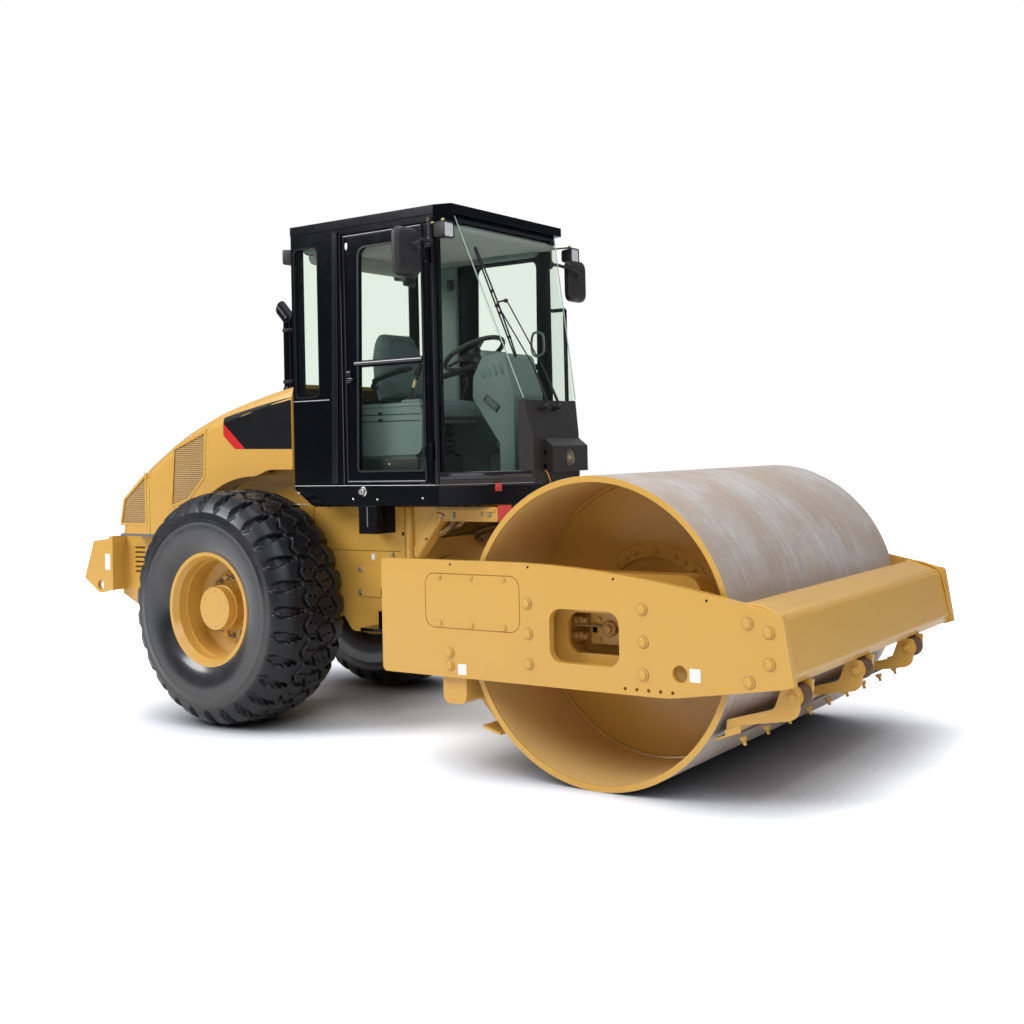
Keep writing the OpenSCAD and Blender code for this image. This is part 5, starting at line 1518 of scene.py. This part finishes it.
def lofted(rows):
    """A closed form through rounded rectangles: each row is (centre x, z, half depth, half width, corner), lying across
    the direction of the row's own slope (run x, run z)."""
    rings = []
    for x, z, depth, width, corner, run in rows:
        outline = box_outline((-depth, -width), (depth, width), corner, 5)
        run = np.array(run, dtype=float) / np.linalg.norm(run)
        normal = np.array([run[1], 0.0, -run[0]])
        rings.append(np.array([x, 0.0, z]) + np.outer(outline[:, 0], normal) + np.outer(outline[:, 1],
                (0, 1, 0)))
    return stack(rings)


def seat():
    """The driver's seat: padded cushion and back, their shells, the arm rests and the folded bellows below."""
    flat = (1, 0.04)
    cushion = lofted([(-0.318, 1.925, 0.030, 0.190, 0.028, flat), (-0.305, 1.926, 0.046, 0.212, 0.040, flat),
                      (-0.180, 1.928, 0.052, 0.222, 0.045, flat), (0.050, 1.930, 0.055, 0.224, 0.048, flat),
                      (0.150, 1.930, 0.054, 0.220, 0.048, flat), (0.188, 1.924, 0.046, 0.206, 0.040, flat),
                      (0.201, 1.918, 0.030, 0.185, 0.028, flat)])
    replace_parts(pad("seat_cushion", cushion, 0.011), "seat")
    up = (-0.17, 1)
    back = lofted([(-0.292, 2.006, 0.030, 0.175, 0.028, up), (-0.293, 2.022, 0.046, 0.196, 0.042, up),
                   (-0.306, 2.120, 0.050, 0.214, 0.046, up),
                   (-0.326, 2.240, 0.050, 0.214, 0.046, up), (-0.346, 2.355, 0.048, 0.194, 0.044, up),
                   (-0.358, 2.420, 0.042, 0.166, 0.040, up),
                   (-0.363, 2.446, 0.028, 0.140, 0.026, up)])
    pad("seat_back", back, 0.010)
    seams = Solid()
    for y in (-0.150, 0.150):
        tube(seams, curve([(-0.290, y, 1.988), (-0.15, y, 1.994), (0.05, y, 1.996), (0.17, y, 1.986)], 8),
             0.0035, 8)
    loop = np.array([(-0.243, -0.150, 2.055), (-0.252, -0.160, 2.150), (-0.268, -0.155, 2.260),
                     (-0.289, -0.125, 2.375), (-0.295, 0.0, 2.400)])
    tube(seams, curve(np.concatenate([loop, loop[-2::-1] * (1, -1, 1)]), 6), 0.0035, 8)
    seams.piece("seat_seams", "seat_fabric", "rear_frame")
    shell = Solid()
    shell.add(*lofted([(-0.345, 2.010, 0.012, 0.170, 0.010, up), (-0.362, 2.130, 0.012, 0.195, 0.010, up),
                       (-0.385, 2.290, 0.012, 0.180, 0.010, up),
                       (-0.402, 2.390, 0.010, 0.140, 0.009, up)]))
    soft_box(shell, (-0.325, -0.205, 1.848), (0.150, 0.205, 1.880), 0.012)
    shell.piece("seat_shell", "grey_plastic", "rear_frame")
    bellows = Solid()
    rings = []
    for i in range(13):
        grow = 0.86 if i % 2 else 1.0
        ring = box_outline((-0.155 * grow, -0.155 * grow), (0.155 * grow, 0.155 * grow), 0.030)
        rings.append(np.stack([ring[:, 0] - 0.125, ring[:, 1], np.full(len(ring), 1.640 + 0.0173 * i)], -1))
    bellows.add(*stack(rings))
    soft_box(bellows, (-0.300, -0.165, 1.480), (0.060, 0.165, 1.640), 0.012)
    for y in (-0.150, 0.150):
        soft_box(bellows, (-0.320, y - 0.016, 1.625), (0.055, y + 0.016, 1.655), 0.006)
    bellows.piece("seat_bellows", "black_plastic", "rear_frame")
    arms = Solid()
    for side in (1, -1):
        a, b = np.array([-0.315, side * 0.262, 2.130]), np.array([0.010, side * 0.262, 2.196])
        rise = 0.012 * np.sin(np.linspace(0, math.pi, 9))
        path = a + (b - a) * np.linspace(0, 1, 9)[:, None] + np.array([0, 0, 1.0]) * rise[:, None]
        swept(arms, box_outline((-0.026, -0.018), (0.026, 0.018), 0.015), path, up=(0, 0, 1),
              size=np.array([0.5, 0.9, 1, 1, 1, 1, 0.98, 0.9, 0.5]))
        tube(arms, curve([(-0.335, side * 0.215, 2.085), (-0.330, side * 0.250, 2.095),
                          (-0.300, side * 0.262, 2.125)], 5), 0.014, 12)
    arms.piece("seat_arms", "mirror_shell", "rear_frame", "grey_plastic")


def consoles():
    """Details of the side consoles: lids, drawer grooves and handle recesses painted dark as painted shade, levers and
    switches.
    """
    grooves, tops, levers, brass = Solid(), Solid(), Solid(), Solid()
    for side in (1, -1):
        y = side * 0.4505
        # dark bars along the drawer grooves and dark patches in the handle recesses: painted shade
        for z in (1.862, 1.902):
            bar(grooves, (-0.300, y, z + 0.004), (0.235, y, z), 0.005, 0.0024)
        for z in (1.872, 1.912):
            soft_box(grooves, (-0.105, side * 0.449, z - 0.010), (-0.070, side * 0.4525, z + 0.008), 0.003)
        soft_box(tops, (-0.322, side * 0.284, 1.945), (0.246, side * 0.456, 1.972), 0.012)
        soft_box(tops, (0.060, side * 0.310, 1.962), (0.215, side * 0.430, 1.992), 0.012)
    grooves.piece("console_groove_shade", "joint_and_shade_dark", "rear_frame")
    tops.piece("console_lids", "grey_plastic", "rear_frame")
    for i, z in enumerate((1.990, 2.005, 2.019, 2.032)):
        turned(levers, [(0.002, z - 0.007), (0.044 - 0.008 * i, z - 0.007), (0.040 - 0.008 * i, z),
                        (0.034 - 0.008 * i, z + 0.007), (0.002, z + 0.007)],
               (0.080, -0.350, 0), axis="Z", steps=28)
    tube(levers, curve([(0.080, -0.350, 2.020), (0.098, -0.350, 2.075), (0.128, -0.350, 2.130)], 6), 0.0075, 12)
    soft_box(levers, (-0.017, -0.019, -0.042), (0.017, 0.019, 0.042), 0.014, 3, turn_about("Y", 22),
             (0.143, -0.350, 2.176))
    for x in (-0.22, -0.17, -0.12):
        soft_box(levers, (x - 0.016, -0.372, 1.968), (x + 0.016, -0.350, 1.982), 0.004, 2)
    tube(levers, curve([(-0.10, 0.34, 1.97), (-0.07, 0.34, 2.04), (-0.05, 0.34, 2.11)], 5), 0.007, 12)
    soft_box(levers, (-0.067, 0.323, 2.10), (-0.033, 0.357, 2.16), 0.014)
    levers.piece("cab_levers", "black_plastic", "rear_frame")
    put(brass, disc(20, (0.011, 0.0), (0.011, 0.045), (0.008, 0.050)), [(0.095, -0.350, 2.070)], (0.45, 0, 1))
    brass.piece("lever_sleeve", "brass", "rear_frame")


def dash():
    """Ribs, vents, instrument cluster and pedals round the steering column, and the rim's grip and spokes."""
    ribs, vents, glass, grip = Solid(), Solid(), Solid(), Solid()
    for side in (1, -1):
        y = side * 0.150
        for i in range(4):
            a = np.array([0.452 + 0.048 * i, y, 2.188 + 0.006 * i])
            b = a + (0.040, 0.0, -0.080)
            path = a + (b - a) * np.linspace(0, 1, 7)[:, None]
            swept(ribs, circle(0.011, 12), path, up=(0, 1, 0), size=np.array([0.3, 0.85, 1, 1, 1, 0.85, 0.3]))
        tilt = turn_about("Y", 37)
        soft_box(vents, (-0.066, -0.004, -0.024), (0.066, 0.004, 0.024), 0.004, 2, tilt, (0.545, y, 1.956))
        for lift in (-0.012, 0.0, 0.012):
            soft_box(ribs, (-0.050, -0.003, -0.0035), (0.050, 0.003, 0.0035), 0.002, 1, tilt,
                     np.array([0.545, y + side * 0.003, 1.956])
                     + tilt @ np.array([0, 0, lift]))
        bar(vents, (0.600, y, 1.700), (0.405, y, 1.985), 0.004, 0.002)
    soft_box(ribs, (-0.008, -0.125, -0.055), (0.030, 0.125, 0.055), 0.016, 3, turn_about("Y", -28),
             (0.470, 0, 2.235))
    ribs.piece("dash_ribs", "grey_plastic", "rear_frame")
    soft_box(glass, (-0.003, -0.105, -0.040), (0.003, 0.105, 0.040), 0.002, 2, turn_about("Y", -28),
             (0.459, 0, 2.232))
    glass.piece("dash_face", "black_paint", "rear_frame")
    for y in (-0.085, 0.085):
        soft_box(vents, (0.385, y - 0.04, 2.03), (0.400, y + 0.04, 2.075), 0.004)
        soft_box(vents, (0.44, y - 0.035, 1.478), (0.56, y + 0.035, 1.50), 0.006, 2, turn_about("Y", -25),
                 (0.50, y, 1.52))
    vents.piece("dash_vents", "black_plastic", "rear_frame")
    tilt = turn_about("Y", -28)
    hub = np.array([0.301, 0.0, 2.279])
    axis = tilt @ np.array([0, 0, 1.0])
    for angle in np.radians([90, 210, 330]):
        out = tilt @ np.array([math.cos(angle), math.sin(angle), 0.0])
        line = hub + out * np.linspace(0.03, 0.185, 6)[:, None] + axis * np.linspace(0.004, -0.002, 6)[:, None]
        swept(grip, box_outline((-0.020, -0.006), (0.020, 0.006), 0.005), line, up=axis,
              size=np.linspace(1, 0.7, 6))
    turn = np.linspace(0, 2 * math.pi, 72, endpoint=False)
    across = tilt @ np.array([1.0, 0, 0])
    ring = hub + 0.195 * (np.cos(turn)[:, None] * across + np.sin(turn)[:, None] * np.array([0, 1.0, 0]))
    tube(grip, ring, 0.0152, 14, closed=True, up=axis, size=1 + 0.05 * np.sin(turn * 36))
    put(grip, disc(32, (0.045, -0.02), (0.050, 0.004), (0.044, 0.020), (0.026, 0.027)), [hub], axis)
    put(grip, disc(16, (0.016, 0.0), (0.018, 0.03), (0.012, 0.042)),
        [hub + 0.170 * (tilt @ np.array([-0.5, 0.85, 0])) + tilt @ np.array([0, 0, 0.012])], axis)
    grip.piece("steering_grip", "mirror_shell", "rear_frame", "black_plastic", stands_for=("steering_wheel",))
    column = Solid()
    tube(column, [hub + tilt @ np.array([0, 0, -0.030]), hub + tilt @ np.array([0, 0, -0.20])], 0.030, 20)
    soft_box(column, (-0.035, -0.035, -0.05), (0.035, 0.035, 0.05), 0.012, 3, tilt,
             hub + tilt @ np.array([0, 0, -0.085]))
    for side in (1, -1):
        tube(column, [hub + tilt @ np.array([0, side * 0.03, -0.07]),
                      hub + tilt @ np.array([0.02, side * 0.16, -0.055])], 0.006, 10)
        soft_box(column, (-0.012, -0.022, -0.009), (0.012, 0.022, 0.009), 0.007, 2, tilt,
                 hub + tilt @ np.array([0.022, side * 0.175, -0.052]))
    column.piece("steering_stalks", "black_plastic", "rear_frame")


seat()
consoles()
dash()


# Studio and camera
def photo_camera():
    """The photograph's camera, solved from the drum, the wheel and the cab's edges."""
    place = (5.202, -6.213, 1.6625)
    yaw, pitch, roll = 0.580, 0.025, -0.025
    ahead = np.array([-math.sin(yaw) * math.cos(pitch), math.cos(yaw) * math.cos(pitch), math.sin(pitch)])
    right = np.array([math.cos(yaw), math.sin(yaw), 0.0])
    up = np.cross(right, ahead)
    right_rolled = right * math.cos(roll) + up * math.sin(roll)
    up_rolled = -right * math.sin(roll) + up * math.cos(roll)
    lens = bpy.data.cameras.new("camera")
    pixels = 1024
    focal_px, middle_px = 1257.56, (586.7, 417.9)
    lens.sensor_width = 36.0
    lens.lens = 36.0 * focal_px / pixels
    lens.shift_x = 0.5 - middle_px[0] / pixels
    lens.shift_y = middle_px[1] / pixels - 0.5
    lens.clip_end = 200.0
    camera = bpy.data.objects.new("camera", lens)
    bpy.context.collection.objects.link(camera)
    turn = mathutils.Matrix([list(row) for row in np.array([right_rolled, up_rolled, -ahead]).T])
    camera.matrix_world = mathutils.Matrix.Translation(place) @ turn.to_4x4()
    bpy.context.scene.camera = camera


def pale_floor():
    """A pale floor that the camera sees fade to white away from the machine, with painted shade: its colour darkened by
    ambient occlusion near the machine.
    """
    half = 60.0
    floor = bpy.data.meshes.new("floor")
    floor.from_pydata([(-half, -half, 0), (half, -half, 0), (half, half, 0), (-half, half, 0)], [],
                      [(0, 1, 2, 3)])
    ground = bpy.data.objects.new("floor", floor)
    bpy.context.collection.objects.link(ground)
    s = Shader("floor")
    plain = s.node("ShaderNodeBsdfDiffuse", Color=(0.80, 0.80, 0.80))
    # ambient occlusion darkens the floor's colour for the camera: painted contact shade near the tyres and the drum
    openness_for_painted_shade = s.node("ShaderNodeAmbientOcclusion", settings={"samples": 8}, out=1, Distance=0.75).math("POWER",
            1.3)
    lit = s.node("ShaderNodeBsdfDiffuse", Color=s.mix(openness_for_painted_shade, (0.10, 0.11, 0.13), (1.28, 1.32, 1.37)))
    away = (s.axis("X").math("POWER", 2.0) + s.axis("Y").math("POWER", 2.0)).math("SQRT").step(3.0, 9.0)
    glow = s.node("ShaderNodeEmission", Color=s.mix(away, (0.0, 0.0, 0.0), (1.0, 1.0, 1.0)), Strength=1.0)
    both = s.tree.nodes.new("ShaderNodeAddShader")
    s.tree.links.new(lit.value, both.inputs[0])
    s.tree.links.new(glow.value, both.inputs[1])
    seen = s.node("ShaderNodeLightPath", out=0)
    floor.materials.append(s.blend(seen, plain, Sock(s.tree, both.outputs[0])))


def white_world():
    """White where the camera looks past the machine; for light, a sky that pales from the horizon to the zenith."""
    world = bpy.data.worlds.new("world")
    bpy.context.scene.world = world
    world.use_nodes = True
    tree = world.node_tree
    tree.nodes.clear()
    path = tree.nodes.new("ShaderNodeLightPath")
    place = tree.nodes.new("ShaderNodeTexCoord")
    parts = tree.nodes.new("ShaderNodeSeparateXYZ")
    tree.links.new(place.outputs["Generated"], parts.inputs[0])
    sky = Sock(tree, parts.outputs[2]).step(-0.05, 0.9)
    white = tree.nodes.new("ShaderNodeBackground")
    white.inputs["Color"].default_value = (1, 1, 1, 1)
    white.inputs["Strength"].default_value = 1.0
    dim = tree.nodes.new("ShaderNodeBackground")
    shade = tree.nodes.new("ShaderNodeMix")
    shade.data_type = "RGBA"
    feed(tree, shade.inputs[0], sky)
    feed(tree, shade.inputs[6], (0.12, 0.125, 0.14))
    feed(tree, shade.inputs[7], (0.68, 0.70, 0.74))
    tree.links.new(shade.outputs[2], dim.inputs["Color"])
    dim.inputs["Strength"].default_value = 1.0
    rays = Sock(tree, path.outputs["Is Camera Ray"]).math("MAXIMUM",
                                                          Sock(tree, path.outputs["Is Transmission Ray"]))
    mix = tree.nodes.new("ShaderNodeMixShader")
    tree.links.new(rays.value, mix.inputs[0])
    tree.links.new(dim.outputs[0], mix.inputs[1])
    tree.links.new(white.outputs[0], mix.inputs[2])
    out = tree.nodes.new("ShaderNodeOutputWorld")
    tree.links.new(mix.outputs[0], out.inputs["Surface"])


# name, place, side of the square, watts
LAMPS = (("key", (7.5, -7.0, 8.5), 6.0, 430.0), ("side", (-7.0, -8.0, 8.0), 6.0, 1000.0),
         ("fill", (5.2, -8.4, 2.4), 3.0, 40.0), ("top", (1.5, 0.0, 9.5), 8.0, 370.0),
         ("back", (-3.0, 9.0, 6.5), 6.0, 300.0))


def lamps():
    """Soft lamps round the machine, all aimed at its middle; the back one leaves no reflection."""
    for name, place, size, power in LAMPS:
        lamp = bpy.data.lights.new(name, "AREA")
        lamp.size, lamp.energy = size, power
        spot = bpy.data.objects.new(name, lamp)
        spot.location = place
        spot.visible_glossy = name != "back"
        aim = mathutils.Vector((0.2, 0.0, 1.2)) - mathutils.Vector(place)
        spot.rotation_euler = aim.to_track_quat("-Z", "Y").to_euler()
        bpy.context.collection.objects.link(spot)


photo_camera()
pale_floor()
white_world()
lamps()
bpy.context.scene.view_settings.view_transform = "Standard"
